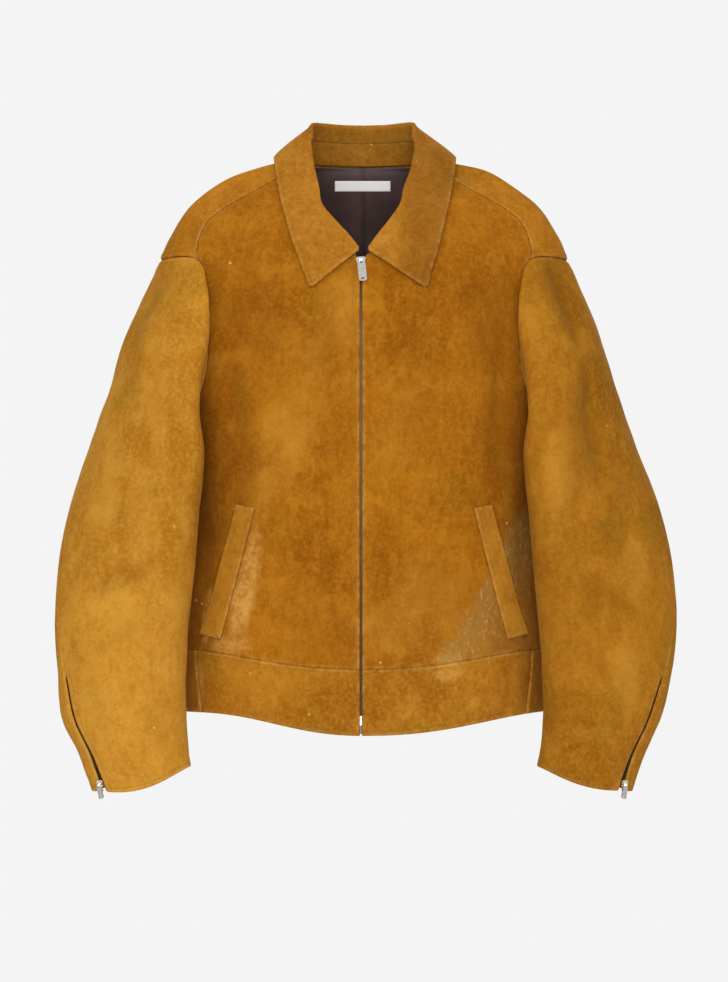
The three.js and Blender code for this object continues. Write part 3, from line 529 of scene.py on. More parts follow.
@dataclass
class Cloth:
    """A grid of cloth on its way to being a closed shell, in millimetres."""

    name: str
    points: Array
    normals: Array
    wall: float = SUEDE_WALL
    masks: dict[str, Array] = field(default_factory=dict)
    nearest: Array | None = None

    def ends(self, **kinds: Edge | tuple[Edge, Array] | None) -> "Cloth":
        """Shapes the cloth beside its ends.

        Args:
            **kinds: For first, last, left and right, how the cloth ends there, or that and a share
                for each row or column.

        Returns:
            The same cloth.
        """
        base = self.points
        far = {"first": (0, False), "last": (0, True), "left": (1, False), "right": (1, True)}
        nearest = np.full(base.shape[:2], 99.0)
        lift = np.zeros(base.shape[:2])
        for where, kind in kinds.items():
            share = 1.0
            if isinstance(kind, tuple):
                kind, share = kind
                share = share[:, None] if where in ("left", "right") else share[None, :]
            distance = lengths(base, *far[where])
            lift += kind.lift(distance) * share
            nearest = np.minimum(nearest, np.where(share > 0.3, distance, 99.0))
        self.nearest = nearest
        self.points = base + self.normals * lift[..., None]
        return self

    def rounded(self, radius: float, corners: Sequence[tuple[str, str]]) -> "Cloth":
        """Rounds corners of the cloth.

        Args:
            radius: The corners' radius.
            corners: Pairs of a row end, first or last, and a column end, left or right.

        Returns:
            The same cloth.
        """
        for row_end, column_end in corners:
            from_row = np.clip(radius - lengths(self.points, 0, row_end == "last"), 0, radius)
            from_column = np.clip(radius - lengths(self.points, 1, column_end == "right"), 0, radius)
            up = unit(np.gradient(self.points, axis=0)) * (-1 if row_end == "last" else 1)
            across = unit(np.gradient(self.points, axis=1)) * (-1 if column_end == "right" else 1)
            twice = 2 * radius * radius
            rise = from_row * (1 - np.sqrt(1 - from_column ** 2 / twice))
            shift = from_column * (1 - np.sqrt(1 - from_row ** 2 / twice))
            self.points = self.points + up * rise[..., None] + across * shift[..., None]
        return self

    def raised(self, lift: Array) -> "Cloth":
        """Lifts the cloth by a height for each point and returns it."""
        self.points = self.points + self.normals * lift[..., None]
        return self

    def line(self, where: str, inset: float, part: tuple[float, float] = (0.0, 1.0)) -> tuple[Array, Array]:
        """Finds the line that runs beside one end at a distance from it.

        Args:
            where: The end: first, last, left or right.
            inset: The distance from it.
            part: The share of the line to keep.

        Returns:
            Points on the cloth's face and their normals.
        """
        points, normals = self.points, self.normals
        if where in ("first", "last"):
            points, normals = points.swapaxes(0, 1), normals.swapaxes(0, 1)
        if where in ("last", "right"):
            points, normals = points[:, ::-1], normals[:, ::-1]
        run = lengths(points, 1)
        rows = np.arange(len(points))
        k = np.clip(np.sum(run < inset, axis=1), 1, points.shape[1] - 1)
        t = (inset - run[rows, k - 1]) / np.maximum(run[rows, k] - run[rows, k - 1], 1e-6)
        spots = mix(points[rows, k - 1], points[rows, k], t[:, None])
        facing = unit(mix(normals[rows, k - 1], normals[rows, k], t[:, None]))
        keep = slice(int(part[0] * len(rows)), max(int(part[1] * len(rows)), 2))
        return spots[keep] + 0.12 * facing[keep], facing[keep]

    def shell(self, outside: bpy.types.Material, inside: bpy.types.Material) -> bpy.types.Object:
        """Closes the cloth into a thin shell and makes its object.

        Args:
            outside: The finish of its face and rim.
            inside: The finish of its back.

        Returns:
            The object, in metres.
        """
        grid = self.points
        rows, columns = grid.shape[:2]
        across = np.gradient(grid, axis=1)
        up = np.gradient(grid, axis=0)
        facing = unit(np.cross(across, up))
        outward = np.mean(np.sum(facing * self.normals, -1)) > 0
        facing = facing if outward else -facing
        inner = grid - facing * self.wall
        count = rows * columns
        index = np.arange(count).reshape(rows, columns)
        corners = [index[:-1, :-1], index[:-1, 1:], index[1:, 1:], index[1:, :-1]]
        face = np.stack(corners, -1).reshape(-1, 4)
        border = np.concatenate([index[0, :-1], index[:-1, -1], index[-1, :0:-1], index[:0:-1, 0]])
        after = np.roll(border, -1)
        rim = np.stack([border, border + count, after + count, after], -1)
        quads = np.concatenate([face, face[:, ::-1] + count, rim])
        if not outward:
            quads = quads[:, ::-1]
        vertices = np.concatenate([grid.reshape(-1, 3), inner.reshape(-1, 3)]) * MM
        mesh = bpy.data.meshes.new(self.name)
        mesh.vertices.add(len(vertices))
        mesh.vertices.foreach_set("co", vertices.astype(np.float32).ravel())
        mesh.loops.add(quads.size)
        mesh.loops.foreach_set("vertex_index", quads.astype(np.int32).ravel())
        mesh.polygons.add(len(quads))
        mesh.polygons.foreach_set("loop_start", np.arange(0, quads.size, 4, dtype=np.int32))
        back = np.zeros(len(quads), np.int32)
        back[len(face):2 * len(face)] = 1
        mesh.materials.append(outside)
        mesh.materials.append(inside)
        mesh.polygons.foreach_set("material_index", back)
        mesh.update(calc_edges=True)
        mesh.shade_smooth()
        masks = dict(self.masks)
        near = self.nearest if self.nearest is not None else np.full((rows, columns), 99.0)
        masks["edge"] = bell(near, 3.2)
        for name, values in masks.items():
            layer = mesh.attributes.new(name, "FLOAT", "POINT")
            both = np.tile(np.broadcast_to(values, (rows, columns)).ravel(), 2)
            layer.data.foreach_set("value", both.astype(np.float32))
        made = bpy.data.objects.new(self.name, mesh)
        bpy.context.scene.collection.objects.link(made)
        return made

    def area(self) -> float:
        """Returns the area of the cloth's face in square metres."""
        across = np.diff(self.points, axis=1)[:-1]
        up = np.diff(self.points, axis=0)[:, :-1]
        return float(np.linalg.norm(np.cross(across, up), axis=-1).sum()) * MM * MM


# Finishes


def srgb(code: str) -> Colour:
    """Returns the linear colour of a hexadecimal screen colour."""
    parts = [int(code[i:i + 2], 16) / 255 for i in (0, 2, 4)]
    linear = [p / 12.92 if p <= 0.04045 else ((p + 0.055) / 1.055) ** 2.4 for p in parts]
    return linear[0], linear[1], linear[2], 1.0


class Graph:
    """A material's node tree, built from a few kinds of node."""

    def __init__(self, name: str) -> None:
        """Makes a material with only its shader and output.

        Args:
            name: The material's name.
        """
        self.material = bpy.data.materials.new(name)
        self.material.use_nodes = True
        self.tree = self.material.node_tree
        self.shader = self.tree.nodes["Principled BSDF"]
        self.place = self.node("ShaderNodeTexCoord").outputs["Object"]

    def node(self, kind: str, **settings: object) -> bpy.types.Node:
        """Adds a node of a kind with its properties set."""
        made = self.tree.nodes.new(kind)
        for key, value in settings.items():
            setattr(made, key, value)
        return made

    def feed(self, socket: bpy.types.NodeSocket, value: object) -> None:
        """Links a socket to another one, or sets its value."""
        if isinstance(value, bpy.types.NodeSocket):
            self.tree.links.new(value, socket)
        else:
            socket.default_value = value

    def noise(
        self, size: float, detail: float = 3.0, rough: float = 0.5, bend: float = 0.0, tall: float = 1.0,
    ) -> bpy.types.NodeSocket:
        """Adds noise with features of about that many millimetres, and that many times as tall."""
        made = self.node("ShaderNodeTexNoise")
        place = self.place
        if tall != 1.0:
            stretch = self.node("ShaderNodeMapping")
            self.feed(stretch.inputs["Vector"], place)
            stretch.inputs["Scale"].default_value = (1, 1, 1 / tall)
            place = stretch.outputs["Vector"]
        self.feed(made.inputs["Vector"], place)
        made.inputs["Scale"].default_value = 1 / (size * MM)
        made.inputs["Detail"].default_value = detail
        made.inputs["Roughness"].default_value = rough
        made.inputs["Distortion"].default_value = bend
        return made.outputs[0]

    def attribute(self, name: str) -> bpy.types.NodeSocket:
        """Reads one of the cloth's masks."""
        return self.node("ShaderNodeAttribute", attribute_name=name).outputs["Fac"]

    def maths(self, operation: str, a: object, b: object = 0.0) -> bpy.types.NodeSocket:
        """Adds a sum of two values."""
        made = self.node("ShaderNodeMath", operation=operation)
        self.feed(made.inputs[0], a)
        self.feed(made.inputs[1], b)
        return made.outputs[0]

    def ramp(self, value: object, low: float, high: float) -> bpy.types.NodeSocket:
        """Adds a smooth rise from 0 at low to 1 at high."""
        made = self.node("ShaderNodeMapRange", interpolation_type="SMOOTHSTEP")
        self.feed(made.inputs["Value"], value)
        made.inputs["From Min"].default_value = low
        made.inputs["From Max"].default_value = high
        return made.outputs["Result"]

    def blend(self, share: object, a: object, b: object, mode: str = "MIX") -> bpy.types.NodeSocket:
        """Adds a mix of two colours."""
        made = self.node("ShaderNodeMix", data_type="RGBA", blend_type=mode)
        self.feed(made.inputs[0], share)
        self.feed(made.inputs[6], a)
        self.feed(made.inputs[7], b)
        return made.outputs[2]

    def bump(self, heights: Sequence[tuple[object, float, float]]) -> None:
        """Adds a chain of bumps, each a height, its strength and its depth in millimetres."""
        normal = None
        for height, strength, depth in heights:
            made = self.node("ShaderNodeBump")
            made.inputs["Strength"].default_value = strength
            made.inputs["Distance"].default_value = depth * MM
            self.feed(made.inputs["Height"], height)
            if normal is not None:
                self.feed(made.inputs["Normal"], normal)
            normal = made.outputs["Normal"]
        self.feed(self.shader.inputs["Normal"], normal)


@dataclass(frozen=True)
class Suede:
    """Worn, hand-dyed suede: mottled, napped, pale at its edges and flecked, and darkened by painted shade where its
    shade mask is set.
    """

    name: str
    deep: str
    main: str
    light: str
    olive: str = "7f5f10"
    pale: str = "c8964a"
    soft: str = "bd8830"
    grey: str = "8a6a34"

    def material(self) -> bpy.types.Material:
        """Builds the finish."""
        g = Graph(self.name)
        cloud = g.noise(165, 3, 0.5, 0.5)
        mottle = g.noise(44, 5, 0.6, 0.5)
        streak = g.noise(15, 5, 0.65, 0.3, tall=2.4)
        grain = g.noise(4.5, 5, 0.68)
        nap = g.noise(0.9, 3, 0.6)
        colour = g.blend(g.ramp(cloud, 0.34, 0.64), srgb(self.deep), srgb(self.main))
        colour = g.blend(g.maths("MULTIPLY", g.ramp(mottle, 0.46, 0.74), 0.5), colour, srgb(self.light))
        colour = g.blend(g.maths("MULTIPLY", g.ramp(streak, 0.44, 0.7), 0.32), colour, srgb(self.light))
        hue = g.noise(75, 3, 0.5, 0.3)
        colour = g.blend(g.maths("MULTIPLY", g.ramp(hue, 0.52, 0.74), 0.4), colour, srgb(self.olive))
        colour = g.blend(g.maths("MULTIPLY", g.ramp(grain, 0.4, 0.66), 0.4), colour, srgb(self.light))
        dark = g.maths("MULTIPLY", g.ramp(g.noise(8, 6, 0.75, 0.0, tall=1.5), 0.47, 0.64), 0.46)
        colour = g.blend(dark, colour, srgb(self.deep))
        lighter = g.maths("MULTIPLY", g.attribute("light"), g.maths("ADD", g.ramp(mottle, 0.3, 0.6), 0.6))
        colour = g.blend(g.maths("MULTIPLY", lighter, 0.5), colour, srgb(self.soft))
        # Painted shade: where the cloth's shade mask is set, the colour darkens towards near black.
        shade = g.maths("MULTIPLY", g.attribute("shade"), 0.55)
        colour = g.blend(shade, colour, g.blend(0.5, srgb(self.deep), (0.05, 0.02, 0.002, 1.0)))
        broken = g.ramp(g.maths("ADD", g.noise(9, 6, 0.7), g.maths("MULTIPLY", mottle, 0.5)), 0.62, 0.88)
        scuff = g.maths("MULTIPLY", g.attribute("scuff"), g.maths("ADD", g.maths("MULTIPLY", broken, 0.65), 0.35))
        colour = g.blend(scuff, colour, srgb(self.pale))
        rubbed = g.attribute("nap")
        rough = g.maths("ADD", g.maths("MULTIPLY", g.ramp(g.noise(6, 6, 0.75), 0.4, 0.62), 0.5), 0.3)
        colour = g.blend(g.maths("MULTIPLY", rubbed, rough), colour, srgb(self.grey))
        hairs = g.maths("MULTIPLY", g.ramp(g.noise(4, 6, 0.8, 0.4, tall=2.2), 0.53, 0.64), 0.75)
        colour = g.blend(g.maths("MULTIPLY", rubbed, hairs), colour, srgb("b8925a"))
        worn = g.maths("MULTIPLY", g.attribute("edge"), g.maths("MULTIPLY", g.ramp(g.noise(12, 5, 0.7), 0.4, 0.65), 0.45))
        colour = g.blend(worn, colour, srgb(self.pale))
        colour = g.blend(self.flecks(g), colour, srgb("e0bd84"))
        g.feed(g.shader.inputs["Base Color"], colour)
        g.shader.inputs["Roughness"].default_value = 0.95
        g.shader.inputs["Specular IOR Level"].default_value = 0.03
        g.shader.inputs["Sheen Weight"].default_value = 0.1
        g.shader.inputs["Sheen Roughness"].default_value = 0.5
        g.shader.inputs["Sheen Tint"].default_value = (0.9, 0.55, 0.15, 1.0)
        g.bump([(grain, 0.3, 0.9), (nap, 0.4, 0.4), (g.noise(2.4, 4, 0.6), 0.3, 0.6)])
        return g.material

    def flecks(self, g: Graph) -> bpy.types.NodeSocket:
        """Returns the share of small pale flecks, a few to a hand's width."""
        cells = g.node("ShaderNodeTexVoronoi")
        g.feed(cells.inputs["Vector"], g.place)
        cells.inputs["Scale"].default_value = 1 / (26 * MM)
        spot = g.maths("SUBTRACT", 1.0, g.ramp(cells.outputs["Distance"], 0.03, 0.07))
        some = g.ramp(g.noise(60, 2), 0.52, 0.6)
        return g.maths("MULTIPLY", g.maths("MULTIPLY", spot, some), 0.7)


@dataclass(frozen=True)
class Satin:
    """Smooth twill lining with a low gloss."""

    name: str
    colour: str

    def material(self) -> bpy.types.Material:
        """Builds the finish."""
        g = Graph(self.name)
        tone = g.noise(40, 3, 0.5)
        base = srgb(self.colour)
        lift = (base[0] * 1.7, base[1] * 1.6, base[2] * 1.6, 1.0)
        colour = g.blend(g.ramp(tone, 0.35, 0.7), base, lift)
        colour = g.blend(g.maths("MULTIPLY", g.attribute("shade"), 0.75), colour, (0.004, 0.003, 0.003, 1.0))
        g.feed(g.shader.inputs["Base Color"], colour)
        g.shader.inputs["Roughness"].default_value = 0.48
        g.shader.inputs["Specular IOR Level"].default_value = 0.35
        g.shader.inputs["Sheen Weight"].default_value = 0.15
        weave = g.node("ShaderNodeTexWave", wave_type="BANDS", bands_direction="DIAGONAL")
        g.feed(weave.inputs["Vector"], g.place)
        weave.inputs["Scale"].default_value = 320
        g.bump([(weave.outputs["Fac"], 0.12, 0.15), (g.noise(14, 3), 0.2, 1.2)])
        return g.material


@dataclass(frozen=True)
class Tape:
    """Plain woven tape."""

    name: str
    colour: str
    thread: float = 0.7

    def material(self) -> bpy.types.Material:
        """Builds the finish."""
        g = Graph(self.name)
        base = srgb(self.colour)
        darker = (base[0] * 0.92, base[1] * 0.92, base[2] * 0.92, 1.0)
        across = self.bands(g, "X")
        along = self.bands(g, "Z")
        weave = g.maths("MULTIPLY", across, along)
        g.feed(g.shader.inputs["Base Color"], g.blend(weave, darker, base))
        g.shader.inputs["Roughness"].default_value = 0.8
        g.shader.inputs["Specular IOR Level"].default_value = 0.25
        g.bump([(weave, 0.4, 0.15)])
        return g.material

    def bands(self, g: Graph, direction: str) -> bpy.types.NodeSocket:
        """Returns threads that repeat along one axis."""
        made = g.node("ShaderNodeTexWave", wave_type="BANDS", bands_direction=direction)
        g.feed(made.inputs["Vector"], g.place)
        made.inputs["Scale"].default_value = 0.3 / (self.thread * MM)
        return made.outputs["Fac"]


@dataclass(frozen=True)
class Thread:
    """Sewing thread with a slight twist."""

    name: str
    colour: str

    def material(self) -> bpy.types.Material:
        """Builds the finish."""
        g = Graph(self.name)
        base = srgb(self.colour)
        darker = (base[0] * 0.7, base[1] * 0.7, base[2] * 0.7, 1.0)
        g.feed(g.shader.inputs["Base Color"], g.blend(g.noise(8, 3), darker, base))
        g.shader.inputs["Roughness"].default_value = 0.6
        g.bump([(g.noise(0.4, 2), 0.3, 0.1)])
        return g.material


@dataclass(frozen=True)
class Metal:
    """Bright plated metal with fine wear."""

    name: str
    colour: str
    roughness: float = 0.22

    def material(self) -> bpy.types.Material:
        """Builds the finish."""
        g = Graph(self.name)
        base = srgb(self.colour)
        duller = (base[0] * 0.72, base[1] * 0.7, base[2] * 0.66, 1.0)
        wear = g.ramp(g.noise(3, 5, 0.7), 0.45, 0.75)
        g.feed(g.shader.inputs["Base Color"], g.blend(wear, base, duller))
        g.shader.inputs["Metallic"].default_value = 1.0
        uneven = g.maths("MULTIPLY", g.noise(1.5, 4), 0.16)
        g.feed(g.shader.inputs["Roughness"], g.maths("ADD", uneven, self.roughness - 0.08))
        g.bump([(g.noise(0.5, 3), 0.08, 0.05)])
        return g.material


@dataclass
class Finishes:
    """Every finish of the jacket."""

    front: bpy.types.Material
    back: bpy.types.Material
    sleeves: dict[int, bpy.types.Material]
    band: bpy.types.Material
    collar: bpy.types.Material
    lining: bpy.types.Material
    label: bpy.types.Material
    tape: bpy.types.Material
    thread: bpy.types.Material
    metal: bpy.types.Material
    teeth: bpy.types.Material

    @classmethod
    def build(cls) -> "Finishes":
        """Builds them all."""
        return cls(
            front=Suede("suede_front", "7f4606", "9a5d0f", "b1751d").material(),
            back=Suede("suede_back", "864d0a", "a36715", "b97d26").material(),
            sleeves={
                -1: Suede("suede_sleeve_left", "9a6211", "b37b24", "c8923a").material(),
                1: Suede("suede_sleeve_right", "83500b", "9b6315", "b37b26").material(),
            },
            band=Suede("suede_band", "864f0a", "a26817", "b8802a").material(),
            collar=Suede("suede_collar", "875010", "a1681b", "b88230").material(),
            lining=Satin("lining_twill", "3a2825").material(),
            label=Tape("label_tape", "fbfaf7").material(),
            tape=Tape("zip_tape", "2e2015").material(),
            thread=Thread("sewing_thread", "9a6a22").material(),
            metal=Metal("plated_metal", "e2e0da").material(),
            # The teeth's metal is made dark: painted shade of the zip's narrow slot where they sit.
            teeth=Metal("teeth_metal_painted_shade", "4a3c2c", 0.38).material(),
        )


# Rows of small pieces


class Row(Enum):
    """What repeats along a line."""

    STITCH = "stitch"
    TOOTH = "tooth"


@dataclass(frozen=True)
class RowMaker:
    """Sets small pieces along lines with Geometry Nodes, in metres."""

    kind: Row
    spacing: float
    length: float
    width: float
    height: float
    seed: int = 5

    def tree(self) -> bpy.types.NodeTree:
        """Builds the tree: the line is resampled, dressed and turned to plain mesh."""
        tree = bpy.data.node_groups.new(f"row_of_{self.kind.value}", "GeometryNodeTree")
        face = tree.interface
        face.new_socket("Line", in_out="INPUT", socket_type="NodeSocketGeometry")
        for name in ("Spacing", "Length", "Width", "Height"):
            face.new_socket(name, in_out="INPUT", socket_type="NodeSocketFloat")
        face.new_socket("Finish", in_out="INPUT", socket_type="NodeSocketMaterial")
        face.new_socket("Pieces", in_out="OUTPUT", socket_type="NodeSocketGeometry")
        nodes, link = tree.nodes, tree.links.new
        given = nodes.new("NodeGroupInput")
        result = nodes.new("NodeGroupOutput")
        curve = nodes.new("GeometryNodeMeshToCurve")
        even = nodes.new("GeometryNodeResampleCurve")
        even.mode = "LENGTH"
        if self.kind is Row.STITCH:
            piece = nodes.new("GeometryNodeMeshUVSphere")
            piece.inputs["Segments"].default_value = 6
            piece.inputs["Rings"].default_value = 4
            piece.inputs["Radius"].default_value = 0.5
        else:
            piece = nodes.new("GeometryNodeMeshCube")
            piece.inputs["Size"].default_value = (1, 1, 1)
        size = nodes.new("ShaderNodeCombineXYZ")
        vary = nodes.new("FunctionNodeRandomValue")
        vary.inputs[2].default_value = 0.9
        vary.inputs[3].default_value = 1.1
        vary.inputs["Seed"].default_value = self.seed
        longer = nodes.new("ShaderNodeMath")
        longer.operation = "MULTIPLY"
        facing = nodes.new("GeometryNodeInputNamedAttribute")
        facing.data_type = "FLOAT_VECTOR"
        facing.inputs["Name"].default_value = "facing"
        turned = nodes.new("FunctionNodeAxesToRotation")
        turned.primary_axis = "X"
        turned.secondary_axis = "Z"
        tangent = nodes.new("GeometryNodeInputTangent")
        placed = nodes.new("GeometryNodeInstanceOnPoints")
        real = nodes.new("GeometryNodeRealizeInstances")
        dressed = nodes.new("GeometryNodeSetMaterial")
        link(given.outputs["Line"], curve.inputs["Mesh"])
        link(curve.outputs["Curve"], even.inputs["Curve"])
        link(given.outputs["Spacing"], even.inputs["Length"])
        link(even.outputs["Curve"], placed.inputs["Points"])
        link(piece.outputs["Mesh"], placed.inputs["Instance"])
        link(tangent.outputs["Tangent"], turned.inputs[0])
        link(facing.outputs["Attribute"], turned.inputs[1])
        link(turned.outputs["Rotation"], placed.inputs["Rotation"])
        link(given.outputs["Length"], longer.inputs[0])
        link(vary.outputs[1], longer.inputs[1])
        link(longer.outputs[0], size.inputs["X"])
        link(given.outputs["Width"], size.inputs["Y"])
        link(given.outputs["Height"], size.inputs["Z"])
        link(size.outputs["Vector"], placed.inputs["Scale"])
        link(placed.outputs["Instances"], real.inputs["Geometry"])
        link(real.outputs["Geometry"], dressed.inputs["Geometry"])
        link(given.outputs["Finish"], dressed.inputs["Material"])
        link(dressed.outputs["Geometry"], result.inputs["Pieces"])
        return tree

    def build(self, name: str, lines: Sequence[tuple[Array, Array]], finish: bpy.types.Material) -> bpy.types.Object:
        """Sets the pieces along lines and makes them one plain mesh.

        Args:
            name: The object's name.
            lines: Points and normals of each line, in millimetres.
            finish: The pieces' finish.

        Returns:
            The object, in metres.
        """
        spots = np.concatenate([line[0] for line in lines]) * MM
        facing = np.concatenate([line[1] for line in lines])
        edges, start = [], 0
        for points, _ in lines:
            edges += [(start + k, start + k + 1) for k in range(len(points) - 1)]
            start += len(points)
        mesh = bpy.data.meshes.new(f"{name}_line")
        mesh.from_pydata(spots.tolist(), edges, [])
        layer = mesh.attributes.new("facing", "FLOAT_VECTOR", "POINT")
        layer.data.foreach_set("vector", facing.astype(np.float32).ravel())
        carrier = bpy.data.objects.new(f"{name}_line", mesh)
        bpy.context.scene.collection.objects.link(carrier)
        tree = self.tree()
        modifier = carrier.modifiers.new("row", "NODES")
        modifier.node_group = tree
        values = {
            "Spacing": self.spacing, "Length": self.length, "Width": self.width,
            "Height": self.height, "Finish": finish,
        }
        for item in tree.interface.items_tree:
            if item.in_out == "INPUT" and item.name in values:
                modifier[item.identifier] = values[item.name]
        ready = carrier.evaluated_get(bpy.context.evaluated_depsgraph_get())
        plain = bpy.data.meshes.new_from_object(ready)
        plain.name = name
        plain.shade_smooth() if self.kind is Row.STITCH else plain.shade_flat()
        bpy.data.objects.remove(carrier)
        made = bpy.data.objects.new(name, plain)
        bpy.context.scene.collection.objects.link(made)
        return made


@dataclass
class Workroom:
    """What the sub-assemblies share: finishes, and the lines of stitches that they leave."""

    finish: Finishes
    seams: list[tuple[Array, Array]] = field(default_factory=list)
    teeth: list[tuple[Array, Array]] = field(default_factory=list)

    def hang(
        self, cloth: Cloth, slot: str, outside: bpy.types.Material, inside: bpy.types.Material,
        flat: tuple[float, float], nodes: Sequence[str] = (), held: str = "hung",
    ) -> bpy.types.Object:
        """Makes a piece of cloth, attaches it to the jacket's body, hides the frame's nodes that it replaces and
        logs its faces and area.

        Args:
            cloth: The cloth.
            slot: A material slot name; not used.
            outside: The finish of its face.
            inside: The finish of its back.
            flat: The width and length that it is cut to, in metres; not used.
            nodes: The frame's nodes that it replaces.
            held: How it is held; not used.

        Returns:
            The object.
        """
        made = cloth.shell(outside, inside)
        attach(made, BODY)
        if nodes:
            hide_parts(*nodes)
        LOG.info("%s: %d faces, %.4f square metres", made.name, len(made.data.polygons), cloth.area())
        return made


# Sub-assemblies


@dataclass(frozen=True)
class Mark:
    """A worn or dark place on the cloth, seen from the front, in millimetres."""

    mask: str
    x: float
    z: float
    wide: float
    tall: float
    lean: float = 0.0
    strength: float = 1.0

    def share(self, points: Array) -> Array:
        """Returns how strongly each point is marked."""
        c, s = math.cos(math.radians(self.lean)), math.sin(math.radians(self.lean))
        dx, dz = points[..., 0] - self.x, points[..., 2] - self.z
        off = np.hypot((dx * c + dz * s) / self.wide, (dz * c - dx * s) / self.tall)
        return self.strength * (1 - step(0.35, 1.0, off + 0.25 * MIDDLE.at(points)))


FRONT_MARKS = (
    Mark("shade", -150, -320, 36, 240, 0, 0.5), Mark("shade", -120, -175, 55, 75, 0, 0.45),
    Mark("shade", -45, -195, 36, 42, 0, 0.35), Mark("shade", 140, -170, 44, 85, 0, 0.6),
    Mark("shade", 150, -290, 28, 100, 0, 0.55), Mark("shade", 95, -470, 48, 50, 0, 0.3),
    Mark("shade", 20, -450, 22, 70, 0, 0.3), Mark("shade", 60, -240, 40, 90, 0, 0.25),
    Mark("shade", -55, -500, 60, 80, 0, 0.25),
    Mark("light", -83, -289, 34, 170, -24, 0.35), Mark("light", -28, -150, 26, 90, 0, 0.4),
    Mark("light", 35, -295, 34, 80, 0, 0.2), Mark("light", 60, -500, 80, 80, 0, 0.35),
    Mark("scuff", -132, -462, 17, 88, -13, 0.75), Mark("scuff", -150, -530, 34, 18, 0, 0.6),
    Mark("scuff", -175, -500, 9, 44, -6, 0.6), Mark("scuff", 96, -545, 26, 14, 0, 0.5),
    Mark("scuff", -190, -575, 12, 50, 0, 0.35), Mark("scuff", 96, -562, 22, 10, 0, 0.45),
)
SLEEVE_MARKS = {
    -1: (
        Mark("light", -290, -360, 32, 100, 0, 0.6), Mark("light", -250, -375, 30, 70, 0, 0.5),
        Mark("light", -228, -285, 16, 120, 4, 0.5), Mark("light", -268, -500, 34, 40, 0, 0.6),
        Mark("shade", -258, -215, 18, 75, 6, 0.4), Mark("shade", -200, -470, 18, 160, 0, 0.3),
        Mark("shade", -215, -620, 30, 60, 0, 0.35), Mark("light", -300, -600, 30, 70, 0, 0.45),
    ),
    1: (
        Mark("shade", 278, -390, 22, 60, 0, 0.4), Mark("shade", 252, -485, 22, 26, 0, 0.4),
        Mark("shade", 212, -598, 16, 30, 0, 0.45), Mark("shade", 236, -300, 22, 130, -8, 0.4),
        Mark("light", 215, -338, 24, 70, 0, 0.5), Mark("light", 290, -560, 26, 60, 0, 0.45),
        Mark("light", 188, -560, 14, 80, 0, 0.35), Mark("light", 300, -450, 24, 60, 0, 0.4),
    ),
}
NAP_EDGE = ((180.0, -364.0), (79.5, -552.0))


def marked(cloth: Cloth, marks: Sequence[Mark]) -> Cloth:
    """Adds worn and dark places to a cloth's masks and returns it."""
    for name in ("shade", "light", "scuff", "nap"):
        total = cloth.masks.get(name, np.zeros(cloth.points.shape[:2]))
        for mark in marks:
            if mark.mask == name:
                total = np.maximum(total, mark.share(cloth.points))
        cloth.masks[name] = total
    return cloth


def at_armhole(cloth: Cloth, side: int) -> None:
    """Dips the cloth into the armhole's seam, and raises a stitched strip over its top.

    Args:
        cloth: A front, or the back on that side.
        side: -1 for the left and 1 for the right.
    """
    line, _ = armhole_line(side, np.linspace(-180, 180, 720))
    gap = gap_to(cloth.points, line)
    strip = step(-150, -118, cloth.points[..., 2])
    cloth.raised(mix(Edge.PLAIN.lift(gap), Edge.PRESSED.lift(gap), strip))
    cloth.nearest = np.minimum(cloth.nearest, gap)


